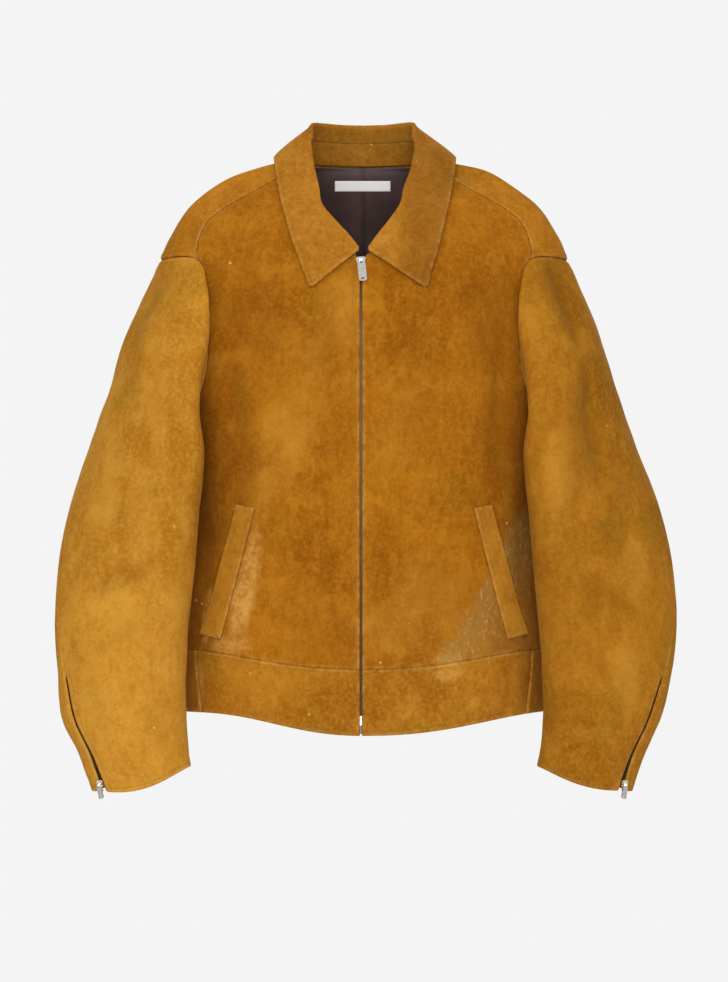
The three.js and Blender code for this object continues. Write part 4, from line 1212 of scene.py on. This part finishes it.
@dataclass
class Fronts:
    """The two fronts, from the waist seam up to the forward shoulder seam, and their welts."""

    room: Workroom
    grain: float = 3.0
    facing: float = 9.4

    def outer(self, s: Array) -> Array:
        """Returns places on the side seam (s to 7), armhole (to 16) and shoulder seam (to 21)."""
        side = np.stack([np.full_like(s, 90.0), mix(WAIST_SEAM["side"], UNDERARM, s / 7)], -1)
        hole = armhole_at(180 - 15 * (s - 7))
        knots = np.array([armhole_at(np.array(SEAM_TURN)), *SHOULDER_SEAM, neck_at(np.array(NECK_SIDE))])
        seam = through(np.arange(16.0, 22.0), knots, np.maximum(s, 16))
        return np.where((s <= 7)[:, None], side, np.where((s <= 16)[:, None], hole, seam))

    def build(self, side: int, name: str) -> None:
        """Builds one front.

        Args:
            side: -1 for the left and 1 for the right.
            name: The frame's node that it replaces.
        """
        s = np.concatenate([
            graded(0, 7, 260, self.grain, "first")[:-1], np.linspace(7, 16, 96)[:-1],
            graded(16, 21, 118, self.grain, "last"),
        ])
        top_z = neck_at(np.array(1.0))[1]
        low = mix(WAIST_SEAM["front"], UNDERARM, s / 7)
        z = np.where(s <= 7, low, mix(UNDERARM, top_z, (s - 7) / 14))
        edge_x = ZIP_X + side * (FRONT_EDGE_GAP / 2 + 4.0 * step(-114, -98, z))
        left = np.stack([side * turn_at(edge_x, z), z], -1)
        right = self.outer(s)
        u = graded(0, 1, 215, self.grain)
        turn = mix(left[0, 0], 90.0, u)
        bottom = np.stack([turn, level(WAIST_SEAM, turn)], -1)
        bottom[0] = left[0]
        top = neck_at(mix(1.0, NECK_SIDE, u))
        top = top + (left[-1] - top[0]) * ((1 - u) ** 8)[:, None]
        grid = coons(bottom, top, left, right, u, (s - s[0]) / (s[-1] - s[0]))
        points, normals = body_point(side * grid[..., 0], grid[..., 1])
        cloth = Cloth(f"{name}_suede", points, normals)
        opening = lengths(points, 1)
        cloth.ends(first=Edge.PLAIN, last=Edge.PLAIN, left=Edge.FOLDED, right=(Edge.PLAIN, step(15.8, 16.4, s)))
        at_armhole(cloth, side)
        calm = step(0, 30, cloth.nearest)
        cloth.raised(slack(cloth.points) * calm)
        cloth.raised(self.pocket_groove(cloth.points, side))
        if side < 0:
            cloth.raised(-0.5 * bell(opening - self.facing, 1.3))
        # Painted shade: darker towards the sides beside the sleeves, and in a thin line along the pocket's open
        # edge.
        x = np.abs(cloth.points[..., 0])
        shade = 0.7 * step(132, 176, x) * (1 - step(-140, -90, cloth.points[..., 2]))
        groove = 0.9 * bell(self.to_opening(cloth.points, side), 2.2)
        cloth.masks["shade"] = np.maximum(shade, groove)
        marked(cloth, FRONT_MARKS)
        if side > 0:
            cloth.masks["nap"] = self.rubbed(cloth.points)
        finish = self.room.finish
        self.room.hang(cloth, "suede_front", finish.front, finish.lining, (0.245, 0.62), [name])
        if side < 0:
            self.room.seams.append(cloth.line("left", self.facing, (0.01, 0.97)))

    def rubbed(self, points: Array) -> Array:
        """Returns how far the nap is rubbed beyond the slanting line on the right front."""
        a, b = (np.array(place) for place in NAP_EDGE)
        run = unit(b - a)
        place = np.stack([points[..., 0], points[..., 2]], -1) - a
        along = place @ run
        beyond = place[..., 0] * -run[1] + place[..., 1] * run[0] + 7 * SMALL.at(points) + 5 * MIDDLE.at(points)
        across = step(-2, 7, beyond) * (1 - 0.65 * step(14, 62, beyond))
        return across * step(-14, 16, along) * (1 - step(-545, -556, points[..., 2]))

    def to_opening(self, points: Array, side: int) -> Array:
        """Returns each point's distance from the pocket's open edge."""
        a, b = np.array(WELT["outerTop"], float), np.array(WELT["outerEnd"], float)
        place = np.stack([side * points[..., 0], points[..., 2]], -1) - a
        run = b - a
        t = np.clip(place @ run / (run @ run), 0, 1)
        beyond = place - t[..., None] * run
        return np.linalg.norm(beyond, axis=-1)

    def pocket_groove(self, points: Array, side: int) -> Array:
        """Returns the dip of the front beside the pocket's open edge."""
        return -2.2 * bell(self.to_opening(points, side), 3.0)

    def welt(self, side: int, name: str) -> None:
        """Builds one welt on its front.

        Args:
            side: -1 for the left and 1 for the right.
            name: The frame's node that it replaces.
        """
        corner = {key: np.array(value, float) for key, value in WELT.items()}
        u = graded(0, 1, 22, 1.6)
        v = graded(0, 1, 152, 3.0)
        start = mix(corner["innerTop"], corner["outerTop"], u[:, None])
        end = mix(corner["innerEnd"], corner["outerEnd"], u[:, None])
        flat = mix(start[None], end[None], v[:, None, None])
        turn = turn_at(flat[..., 0], flat[..., 1])
        points, normals = body_point(side * turn, flat[..., 1], LAYER_CLEARANCE + SUEDE_WALL)
        cloth = Cloth(f"{name}_suede", points, normals)
        cloth.ends(first=Edge.FOLDED, last=Edge.FOLDED, left=Edge.FOLDED, right=Edge.FOLDED)
        cloth.raised(0.5 * MIDDLE.at(cloth.points) * step(0, 8, cloth.nearest))
        marked(cloth, ())
        cloth.masks["light"] = np.full(points.shape[:2], 0.25)
        finish = self.room.finish
        self.room.hang(cloth, "suede_band", finish.band, finish.band, (0.024, 0.155), [name], "stretched")
        for where in ("left", "first", "last"):
            self.room.seams.append(cloth.line(where, 2.4, (0.03, 0.97)))


@dataclass
class Back:
    """The back, which comes over the shoulders to the forward seam."""

    room: Workroom
    grain: float = 3.4
    above_armhole: tuple[tuple[float, ...], ...] = ((15, 19, 20.2, 21.2, 22, 27), (0, 0.34, 0.43, 0.59, 0.81, 1))

    def outer(self, s: Array) -> Array:
        """Returns places on the side seam (s to 7), armhole (to 22) and shoulder seam (to 27)."""
        side = np.stack([np.full_like(s, 90.0), mix(WAIST_SEAM["side"], UNDERARM, s / 7)], -1)
        hole = armhole_at(-180 + 15 * (s - 7))
        knots = np.array([armhole_at(np.array(SEAM_TURN)), *SHOULDER_SEAM, neck_at(np.array(NECK_SIDE))])
        seam = through(np.arange(22.0, 28.0), knots, np.maximum(s, 22))
        return np.where((s <= 7)[:, None], side, np.where((s <= 22)[:, None], hole, seam))

    def half(self, side: int, s: Array, u: Array) -> tuple[Array, Array]:
        """Returns the points and normals of one half, from the centre back outwards."""
        low = mix(WAIST_SEAM["back"], UNDERARM, s / 7)
        beside = armhole_at(-180 + 15 * (np.clip(s, 7, 15) - 7))[:, 1]
        above = mix(beside[-1], neck_at(np.array(0.0))[1], np.interp(s, *self.above_armhole))
        z = np.where(s <= 7, low, np.where(s <= 15, beside, above))
        left = np.stack([np.full_like(z, 180.0), z], -1)
        turn = mix(180.0, 90.0, u)
        bottom = np.stack([turn, level(WAIST_SEAM, turn)], -1)
        top = neck_at(mix(0.0, NECK_SIDE, u))
        grid = coons(bottom, top, left, self.outer(s), u, ((s - s[0]) / (s[-1] - s[0])) ** 3)
        return body_point(side * grid[..., 0], grid[..., 1])

    def build(self) -> None:
        """Builds the back."""
        s = np.concatenate([
            graded(0, 7, 260, self.grain, "first")[:-1], np.linspace(7, 15, 60)[:-1],
            np.linspace(15, 22, 62)[:-1], graded(22, 27, 118, self.grain, "last"),
        ])
        u = graded(0, 1, 240, self.grain, "last")
        (right, right_n), (left, left_n) = self.half(1, s, u), self.half(-1, s, u)
        points = np.concatenate([left[:, :0:-1], right], 1)
        normals = np.concatenate([left_n[:, :0:-1], right_n], 1)
        cloth = Cloth("back_suede", points, normals)
        seam = step(22.0, 22.8, s)
        cloth.ends(first=Edge.PLAIN, last=Edge.PLAIN, left=(Edge.PRESSED, seam), right=(Edge.PRESSED, seam))
        side_seam = 1 - step(6.6, 7.0, s)
        plain = Cloth("side_seams", points, normals)
        plain.ends(left=(Edge.PLAIN, side_seam), right=(Edge.PLAIN, side_seam))
        cloth.points = cloth.points + plain.points - points
        cloth.nearest = np.minimum(cloth.nearest, plain.nearest)
        for side in (-1, 1):
            at_armhole(cloth, side)
        cloth.raised(slack(cloth.points, 1.3) * step(0, 30, cloth.nearest))
        marked(cloth, ())
        finish = self.room.finish
        self.room.hang(cloth, "suede_front", finish.back, finish.lining, (0.56, 0.66), ["back"])
        for side in (-1, 1):
            self.room.seams.append(armhole_line(side, np.linspace(-55, 66, 160), 4.5, 0.45))
        share = float(np.searchsorted(s, 22.1)) / len(s)
        for where in ("left", "right"):
            self.room.seams.append(cloth.line(where, 4.5, (share, 0.985)))


@dataclass
class Waistband:
    """The band in three pieces, with a turned hem."""

    room: Workroom
    grain: float = 3.4

    def piece(self, name: str, turns: Callable[[Array], Array], side: int, flat: tuple[float, float]) -> None:
        """Builds one piece.

        Args:
            name: The frame's node that it replaces.
            turns: Directions along the piece at shares of the way down.
            side: 0 for the back, else the side that the directions are for.
            flat: The width and length that it is cut to, in metres.
        """
        v = graded(0, 1, 72, self.grain)
        turn = turns(v)
        side_of = side or 1
        z = mix(level(WAIST_SEAM, turn, side_of), level(HEM, turn, side_of), v[:, None])
        points, normals = body_point(side_of * turn, z)
        cloth = Cloth(f"{name}_suede", points, normals, wall=2.6)
        near_zip = Edge.FOLDED if side else Edge.PRESSED
        cloth.ends(first=Edge.PRESSED, last=Edge.FOLDED, left=near_zip, right=Edge.PLAIN if side else Edge.PRESSED)
        cloth.raised(slack(cloth.points, 0.7, 0.5, 0.2) * step(0, 14, cloth.nearest))
        x = np.abs(cloth.points[..., 0])
        cloth.masks["shade"] = 0.5 * step(150, 205, x) * (cloth.points[..., 1] < 0)
        marked(cloth, FRONT_MARKS if side else ())
        finish = self.room.finish
        self.room.hang(cloth, "suede_band", finish.band, finish.lining, flat, [name])
        self.room.seams.append(cloth.line("last", 6.0, (0.005, 0.995)))
        self.room.seams.append(cloth.line("first", 4.5, (0.005, 0.995)))
        if side < 0:
            self.room.seams.append(cloth.line("left", Fronts.facing, (0.02, 0.98)))

    def build(self) -> None:
        """Builds the two fronts of the band and its back."""
        for side, name in ((-1, "waistband_left"), (1, "waistband_right")):
            edge_x = ZIP_X + side * FRONT_EDGE_GAP / 2

            def front(v: Array, side: int = side, edge_x: float = edge_x) -> Array:
                """Returns directions from the zip to the slanting join."""
                z = mix(WAIST_SEAM["front"], HEM["front"], v)
                edge = side * turn_at(np.full_like(z, edge_x), z)
                join = mix(BAND_JOIN["top"], BAND_JOIN["bottom"], v)
                return mix(edge[:, None], join[:, None], graded(0, 1, 200, self.grain)[None])

            self.piece(name, front, side, (0.215, 0.073))

        def back(v: Array) -> Array:
            """Returns directions right round the back between the slanting joins."""
            join = mix(BAND_JOIN["top"], BAND_JOIN["bottom"], v)
            share = graded(-1, 1, 560, self.grain + 1)
            return 180 - share[None] * (180 - join[:, None])

        self.piece("waistband_back", back, 0, (0.6, 0.073))


@dataclass
class Sleeves:
    """Two sleeves, each in a top and an under piece, with a zip in the back seam."""

    room: Workroom
    grain: float = 3.3
    tuck: float = 2.6
    beside_zip: float = 8.5

    def open_by(self, down: Array) -> Array:
        """Returns the degrees by which each lip stands off the open seam over the zip."""
        deep = SLEEVE.read(np.maximum(down, 75), "deep")
        per_mm = 360 / (np.pi * (deep + 56))
        zip_top = SLEEVE_LENGTH - CUFF_ZIP_LENGTH
        slit = CUFF_SLIT + 2.8 * step(SLEEVE_LENGTH - 75, SLEEVE_LENGTH - 10, down)
        return per_mm * slit / 2 * step(zip_top - 4, zip_top + 3, down)

    def piece(self, name: str, side: int, start: Array, end: Array, down: Array, top: bool) -> None:
        """Builds the top or the under piece of a sleeve.

        Args:
            name: The frame's node that it replaces.
            side: -1 for the left and 1 for the right.
            start: Degrees round the sleeve at the piece's first end, for each row.
            end: The same at its other end.
            down: Distances down the sleeve of the rows.
            top: Whether it is the top piece.
        """
        u = graded(0, 1, 235 if top else 170, self.grain)
        around = mix(start[:, None], end[:, None], u[None])
        points, normals = sleeve_point(side, around, down[:, None])
        seam = armhole_at(around[0])
        _, body_out = body_point(side * seam[:, 0], seam[:, 1])
        tuck = self.tuck * np.maximum(0, 1 - down / 4.5) ** 1.5
        points = points - body_out[None] * tuck[:, None, None]
        cloth = Cloth(f"{name}_suede", points, normals)
        lip = ("left", "right") if top else ("right", "left")
        cloth.ends(last=Edge.FOLDED, **{lip[0]: Edge.PLAIN, lip[1]: Edge.PLAIN})
        cloth.nearest = np.minimum(cloth.nearest, 0 * around + down[:, None])
        calm = step(0, 26, cloth.nearest)
        cloth.raised(slack(cloth.points, 1.5, 0.7, 0.2) * calm)
        full = np.mod(around, 360)
        # Painted shade: darker on the inner side beside the body and in the troughs of the sleeve's folds.
        inner = bell((full - 150) / 40, 1.0) * step(60, 160, down)[:, None]
        troughs = sum(np.maximum(-fold.height(full, down[:, None]), 0) for fold in SLEEVE_FOLDS[side])
        cloth.masks["shade"] = np.maximum(0.35 * inner, np.minimum(troughs / 9, 0.7))
        marked(cloth, SLEEVE_MARKS[side])
        finish = self.room.finish
        flat = (0.27, 0.62) if top else (0.2, 0.62)
        self.room.hang(cloth, "suede_sleeve", finish.sleeves[side], finish.lining, flat, [name])
        if top:
            self.zip_stitches(cloth, down)
        self.room.seams.append(cloth.line("last", 6.0, (0.03, 0.97)))

    def zip_stitches(self, cloth: Cloth, down: Array) -> None:
        """Adds the stitches beside the cuff zip and the bar across their top."""
        row = int(np.searchsorted(down, SLEEVE_LENGTH - CUFF_ZIP_LENGTH - 3))
        self.room.seams.append(cloth.line("left", self.beside_zip, (row / len(down), 0.985)))
        count = int(np.sum(lengths(cloth.points, 1)[row] < self.beside_zip))
        normals = cloth.normals[row, :count]
        self.room.seams.append((cloth.points[row, :count] + 0.12 * normals, normals))

    def build(self) -> None:
        """Builds both sleeves and the lines of teeth in their zips."""
        down = np.concatenate([
            np.array([0, 0.6, 1.3, 2.2, 3.4, 4.6, 5.8, 7.2]),
            graded(9, SLEEVE_LENGTH, SLEEVE_LENGTH - 9, self.grain, "last"),
        ])
        seam = BACK_SEAM.read(down, "around")
        inner = INNER_SEAM.read(down, "around")
        lip = self.open_by(down)
        for side, word in ((-1, "left"), (1, "right")):
            self.piece(f"sleeve_top_{word}", side, seam + lip, inner, down, True)
            self.piece(f"sleeve_under_{word}", side, inner, seam + 360 - lip, down, False)
            run = np.linspace(SLEEVE_LENGTH - CUFF_ZIP_LENGTH + 4, SLEEVE_LENGTH - 12, 40)
            middle = BACK_SEAM.read(run, "around")
            per_mm = 360 / (np.pi * (SLEEVE.read(run, "deep") + 56))
            for shift in (-1, 1):
                points, normals = sleeve_point(side, middle + shift * 0.7 * per_mm, run + 0.5 * shift, -2.6)
                self.room.teeth.append((points, normals))


@dataclass
class Collar:
    """The stand in the neck, and the collar that starts on it, rolls over and falls outside."""

    room: Workroom
    grain: float = 3.0

    def section(self, along: Array, side: int) -> dict[str, Array]:
        """Returns the main points of the collar's section at places along the neck seam."""
        word = "Right" if side > 0 else "Left"
        seam = neck_at(along)
        turn, z = side * seam[:, 0], seam[:, 1]
        foot, normal = body_point(turn, z)
        out = unit(normal * (1, 1, 0))
        foot = foot - out * (SUEDE_WALL * (1 - normal[:, 2:3])) + (0, 0, STAND_CLEARANCE)
        roll_x, roll_y, roll_z = COLLAR.read(along, f"roll{word}", "rollY", "rollZ")
        edge_x, edge_y, edge_z = COLLAR.read(along, f"edge{word}", "edgeY", "edgeZ")
        roll = np.stack([side * roll_x, roll_y, roll_z], -1)
        edge = np.stack([side * edge_x, edge_y, edge_z], -1)
        radius = COLLAR.read(along, "radius")[:, None]
        down = np.array([0, 0, 1.0])
        roll_in = roll - out * radius * 0.9 - down * radius * 0.8
        roll_out = roll + out * radius - down * radius * 0.9
        return {"foot": foot, "roll": roll, "edge": edge, "out": out, "in": roll_in, "over": roll_out}

    def around(self, points_of: Callable[[dict[str, Array]], Array], along: Array) -> Array:
        """Joins the sections of both sides into a grid that runs right round the neck."""
        right = points_of(self.section(along, 1))
        left = points_of(self.section(along, -1))
        return np.concatenate([left[:, :0:-1], right], 1)

    def stand(self, along: Array) -> None:
        """Builds the stand."""
        t = graded(0, 1, 32, 3.0) * STAND_SHARE

        def points_of(section: dict[str, Array]) -> Array:
            """Returns rows from the neck seam up to the seam under the collar."""
            return mix(section["foot"][None], section["in"][None], t[:, None, None])

        inside = along[along < 0.965]
        grid = self.around(points_of, inside)
        normals = unit(np.cross(np.gradient(grid, axis=1), np.gradient(grid, axis=0)))
        cloth = Cloth("collar_stand_suede", grid, normals)
        cloth.ends(last=(Edge.PLAIN, np.full(grid.shape[1], 0.3)))
        marked(cloth, ())
        cloth.masks["shade"] = np.full(grid.shape[:2], 0.15)
        finish = self.room.finish
        self.room.hang(cloth, "suede_collar", finish.collar, finish.collar, (0.42, 0.03), ["collar_stand"])
        self.room.seams.append(cloth.line("last", 2.6, (0.04, 0.96)))

    def fall(self, along: Array) -> None:
        """Builds the collar above the stand: its roll, its fall and its two points."""

        def points_of(section: dict[str, Array]) -> Array:
            """Returns rows from the seam on the stand, over the roll and down to the outer edge."""
            start = mix(section["foot"], section["in"], STAND_SHARE)
            span = np.linalg.norm(section["in"] - start, axis=-1, keepdims=True)
            knots = [mix(start, section["in"], 0.3 / span), mix(start, section["in"], 0.55), section["in"]]
            knots += [section["roll"], section["over"]]
            for t in (0.25, 0.5, 0.75, 1.0):
                bulge = section["out"] * FALL_BULGE * math.sin(math.pi * t)
                knots.append(mix(section["over"], section["edge"], t) + bulge)
            places = np.array([0, 9, 18, 23, 28, 44, 61, 78, 95.0])
            at = graded(0, 95, 95, self.grain)
            rows = through(places, np.stack(knots).swapaxes(0, 0).reshape(9, -1), at)
            return rows.reshape(len(at), -1, 3)

        grid = self.around(points_of, along)
        normals = unit(np.cross(np.gradient(grid, axis=1), np.gradient(grid, axis=0)))
        cloth = Cloth("collar_suede", grid, normals, wall=2.4)
        cloth.rounded(7.0, (("last", "left"), ("last", "right")))
        faint = np.full(grid.shape[1], 0.3)
        cloth.ends(first=(Edge.PLAIN, faint), last=Edge.FOLDED, left=Edge.FOLDED, right=Edge.FOLDED)
        cloth.raised((0.7 * BROAD.at(grid) + 0.35 * MIDDLE.at(grid)) * step(0, 14, cloth.nearest))
        # Painted shade on the collar's back above the neck; the right leaf is darkened through the same shade mask.
        right_leaf = step(24, 56, grid[..., 0]) * (1 - step(0, 40, grid[..., 1]))
        back = 0.25 * step(30, 60, grid[..., 1]) * (grid[..., 2] > 0)
        cloth.masks["shade"] = np.maximum(0.8 * right_leaf, back)
        marked(cloth, ())
        finish = self.room.finish
        self.room.hang(cloth, "suede_collar", finish.collar, finish.collar, (0.46, 0.105), ["collar"])
        self.room.seams.append(cloth.line("last", 6.0, (0.02, 0.98)))
        for where in ("left", "right"):
            self.room.seams.append(cloth.line(where, 6.0, (0.3, 0.95)))

    def build(self) -> None:
        """Builds the stand and the collar."""
        along = graded(0, 1, 225, self.grain, "last")
        self.stand(along)
        self.fall(along)


@dataclass
class Inside:
    """The lining of the back, seen in the neck, and the blank label on it."""

    room: Workroom
    edge: tuple[tuple[float, float], ...] = (
        (97, -530), (98, -470), (100, -410), (105, -350), (118, -300), (138, -272), (145, -245),
        (148, -205), (148, -160), (145, -120), (136, -80), (123, -40), (111, -10), (104, 8),
    )

    def lining(self) -> None:
        """Builds the lining with the seam down its middle."""
        knots = np.array(self.edge, float)
        last = len(knots) - 1.0
        s = np.linspace(0, last, 150)
        right = through(np.arange(last + 1), knots, s)
        u = np.linspace(0, 1, 66)
        top = neck_at(mix(0.0, NECK_SIDE * 0.7, u)) + (0, 0.9)
        top = top + (knots[-1] - top[-1]) * (u ** 4)[:, None]
        bottom = np.stack([mix(180.0, knots[0, 0], u), np.full_like(u, knots[0, 1])], -1)
        left = np.stack([np.full_like(s, 180.0), mix(knots[0, 1], top[0, 1], s / last)], -1)
        grid = coons(bottom, top, left, right, u, s / last)
        seated = step(last - 1, last, s)[:, None]
        lift = -(SUEDE_WALL + mix(LINING_CLEARANCE, 0.6, seated)) + 0 * grid[..., 0]
        halves = [body_point(side * grid[..., 0], grid[..., 1], lift) for side in (1, -1)]
        points = np.concatenate([halves[1][0][:, :0:-1], halves[0][0]], 1)
        normals = -np.concatenate([halves[1][1][:, :0:-1], halves[0][1]], 1)
        points = points + normals * LINING_WALL
        cloth = Cloth("lining_twill", points, normals, wall=LINING_WALL)
        calm = step(-30, -80, points[..., 2])
        ripple = (0.5 * BROAD.at(points) + 0.3 * MIDDLE.at(points)) * calm
        seam = -0.8 * bell(points[..., 0] + 1, 1.3) + 0.3 * bell(points[..., 0] + 6, 4)
        cloth.masks["shade"] = bell(points[..., 0] + 1, 1.8)
        cloth.raised(ripple + seam)
        finish = self.room.finish
        self.room.hang(cloth, "lining", finish.lining, finish.lining, (0.5, 0.55), ["lining"])

    def label(self) -> None:
        """Builds the blank label."""
        x = np.linspace(LABEL["left"], LABEL["right"], 40)[None]
        z = np.linspace(LABEL["bottom"], LABEL["top"], 12)[:, None]
        x, z = np.broadcast_arrays(x, z)
        top = 4.5
        clearance = mix(0.45, LINING_CLEARANCE, (top - z) / 41.1)
        lift = -(SUEDE_WALL + clearance + LINING_WALL + 0.9)
        points, normals = body_point(180 - turn_at(x, z), z, lift)
        cloth = Cloth("neck_label_tape", points - normals * 0.6, -normals, wall=0.6)
        finish = self.room.finish
        self.room.hang(cloth, "label", finish.label, finish.label, (0.064, 0.0112), ["neck_label"], "laid")

    def build(self) -> None:
        """Builds the lining and the label."""
        self.lining()
        self.label()


@dataclass
class Trim:
    """What is left of the frame's own pieces, the zips' teeth and all the sewing."""

    room: Workroom
    stitch: RowMaker = RowMaker(Row.STITCH, 0.0034, 0.0026, 0.0008, 0.0006)
    tooth: RowMaker = RowMaker(Row.TOOTH, 0.0022, 0.0012, 0.0018, 0.0014)

    def build(self) -> None:
        """Dresses the metal and tapes, and sets the teeth and the stitches."""
        for name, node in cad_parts.items():
            if name.endswith(("slider", "pull", "zip_box")):
                self.dress(node, self.room.finish.metal)
            elif "tape" in name:
                self.dress(node, self.room.finish.tape)
        z = np.linspace(HEM["front"] + 14, -106, 240)
        for shift in (-1, 1):
            x = np.full_like(z, ZIP_X + 0.75 * shift)
            self.room.teeth.append(body_point(turn_at(x, z), z + 0.5 * shift, -2.4 + 0 * z))
        pieces = (
            (self.tooth.build("zip_teeth", self.room.teeth, self.room.finish.teeth), "metal"),
            (self.stitch.build("topstitching", self.room.seams, self.room.finish.thread), "suede_band"),
        )
        for made, slot in pieces:
            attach(made, BODY)
            LOG.info("%s: %d faces", made.name, len(made.data.polygons))

    def dress(self, node: bpy.types.Object, finish: bpy.types.Material) -> None:
        """Gives one of the frame's pieces its finish."""
        node.data.materials.clear()
        node.data.materials.append(finish)


@dataclass(frozen=True)
class Studio:
    """A pale floor, soft light and a level camera with a long lens."""

    distance: float = 8.0
    frame_height: float = 1.0998
    middle: tuple[float, float] = (0.0, -0.3573)
    floor_z: float = -1.0

    def camera(self) -> None:
        """Sets the camera at the height of the middle of the jacket."""
        data = bpy.data.cameras.new("camera")
        data.sensor_fit = "AUTO"
        data.sensor_width = 36.0
        data.lens = data.sensor_width * self.distance / self.frame_height
        data.clip_end = 100.0
        made = bpy.data.objects.new("camera", data)
        made.location = (self.middle[0], -self.distance - 0.05, self.middle[1])
        made.rotation_euler = (math.radians(90), 0, 0)
        bpy.context.scene.collection.objects.link(made)
        bpy.context.scene.camera = made

    def lamp(self, name: str, place: tuple[float, float, float], size: float, power: float) -> None:
        """Adds a soft square lamp that faces the jacket's middle."""
        data = bpy.data.lights.new(name, "AREA")
        data.shape = "SQUARE"
        data.size = size
        data.energy = power
        made = bpy.data.objects.new(name, data)
        made.location = place
        target = Vector((0, 0, -0.35)) - Vector(place)
        made.rotation_euler = target.to_track_quat("-Z", "Y").to_euler()
        bpy.context.scene.collection.objects.link(made)

    def floor(self) -> None:
        """Adds a round pale floor."""
        count = 96
        turn = np.linspace(0, 2 * np.pi, count, endpoint=False)
        ring = np.stack([1.25 * np.cos(turn), 1.25 * np.sin(turn), np.full(count, self.floor_z)], -1)
        mesh = bpy.data.meshes.new("floor")
        mesh.from_pydata(ring.tolist(), [], [list(range(count))])
        g = Graph("floor_paint")
        tone = g.blend(g.noise(300, 2), (0.86, 0.86, 0.855, 1.0), (0.9, 0.9, 0.895, 1.0))
        g.feed(g.shader.inputs["Base Color"], tone)
        g.shader.inputs["Roughness"].default_value = 0.8
        mesh.materials.append(g.material)
        made = bpy.data.objects.new("floor", mesh)
        bpy.context.scene.collection.objects.link(made)

    def world(self) -> None:
        """Sets an even pale background and a soft light from all round."""
        world = bpy.data.worlds.new("world")
        bpy.context.scene.world = world
        world.use_nodes = True
        nodes, link = world.node_tree.nodes, world.node_tree.links.new
        shown = nodes["Background"]
        shown.inputs["Color"].default_value = srgb("f4f4f4")
        light = nodes.new("ShaderNodeBackground")
        light.inputs["Color"].default_value = (1.0, 0.99, 0.97, 1.0)
        light.inputs["Strength"].default_value = 0.55
        path = nodes.new("ShaderNodeLightPath")
        both = nodes.new("ShaderNodeMixShader")
        link(path.outputs["Is Camera Ray"], both.inputs[0])
        link(light.outputs[0], both.inputs[1])
        link(shown.outputs[0], both.inputs[2])
        link(both.outputs[0], nodes["World Output"].inputs["Surface"])

    def build(self) -> None:
        """Builds the camera, the lamps, the floor and the world."""
        self.camera()
        self.lamp("key", (-1.7, -3.2, 1.5), 2.4, 34.0)
        self.lamp("fill", (2.2, -3.0, 0.4), 2.4, 14.0)
        self.lamp("ahead", (0.0, -5.0, 0.35), 2.2, 128.0)
        self.lamp("top", (0.0, 0.6, 2.4), 2.0, 26.0)
        self.lamp("behind", (0.6, 3.4, 0.9), 2.2, 48.0)
        self.floor()
        self.world()
        bpy.context.scene.view_settings.view_transform = "Standard"


def main() -> None:
    """Builds the studio and every sub-assembly of the jacket."""
    logging.basicConfig(level=logging.INFO, format="%(name)s: %(message)s")
    Studio().build()
    room = Workroom(Finishes.build())
    fronts = Fronts(room)
    for side, word in ((-1, "left"), (1, "right")):
        fronts.build(side, f"front_{word}")
        fronts.welt(side, f"welt_{word}")
    Back(room).build()
    Waistband(room).build()
    Sleeves(room).build()
    Collar(room).build()
    Inside(room).build()
    Trim(room).build()


if __name__ == "__main__":
    main()
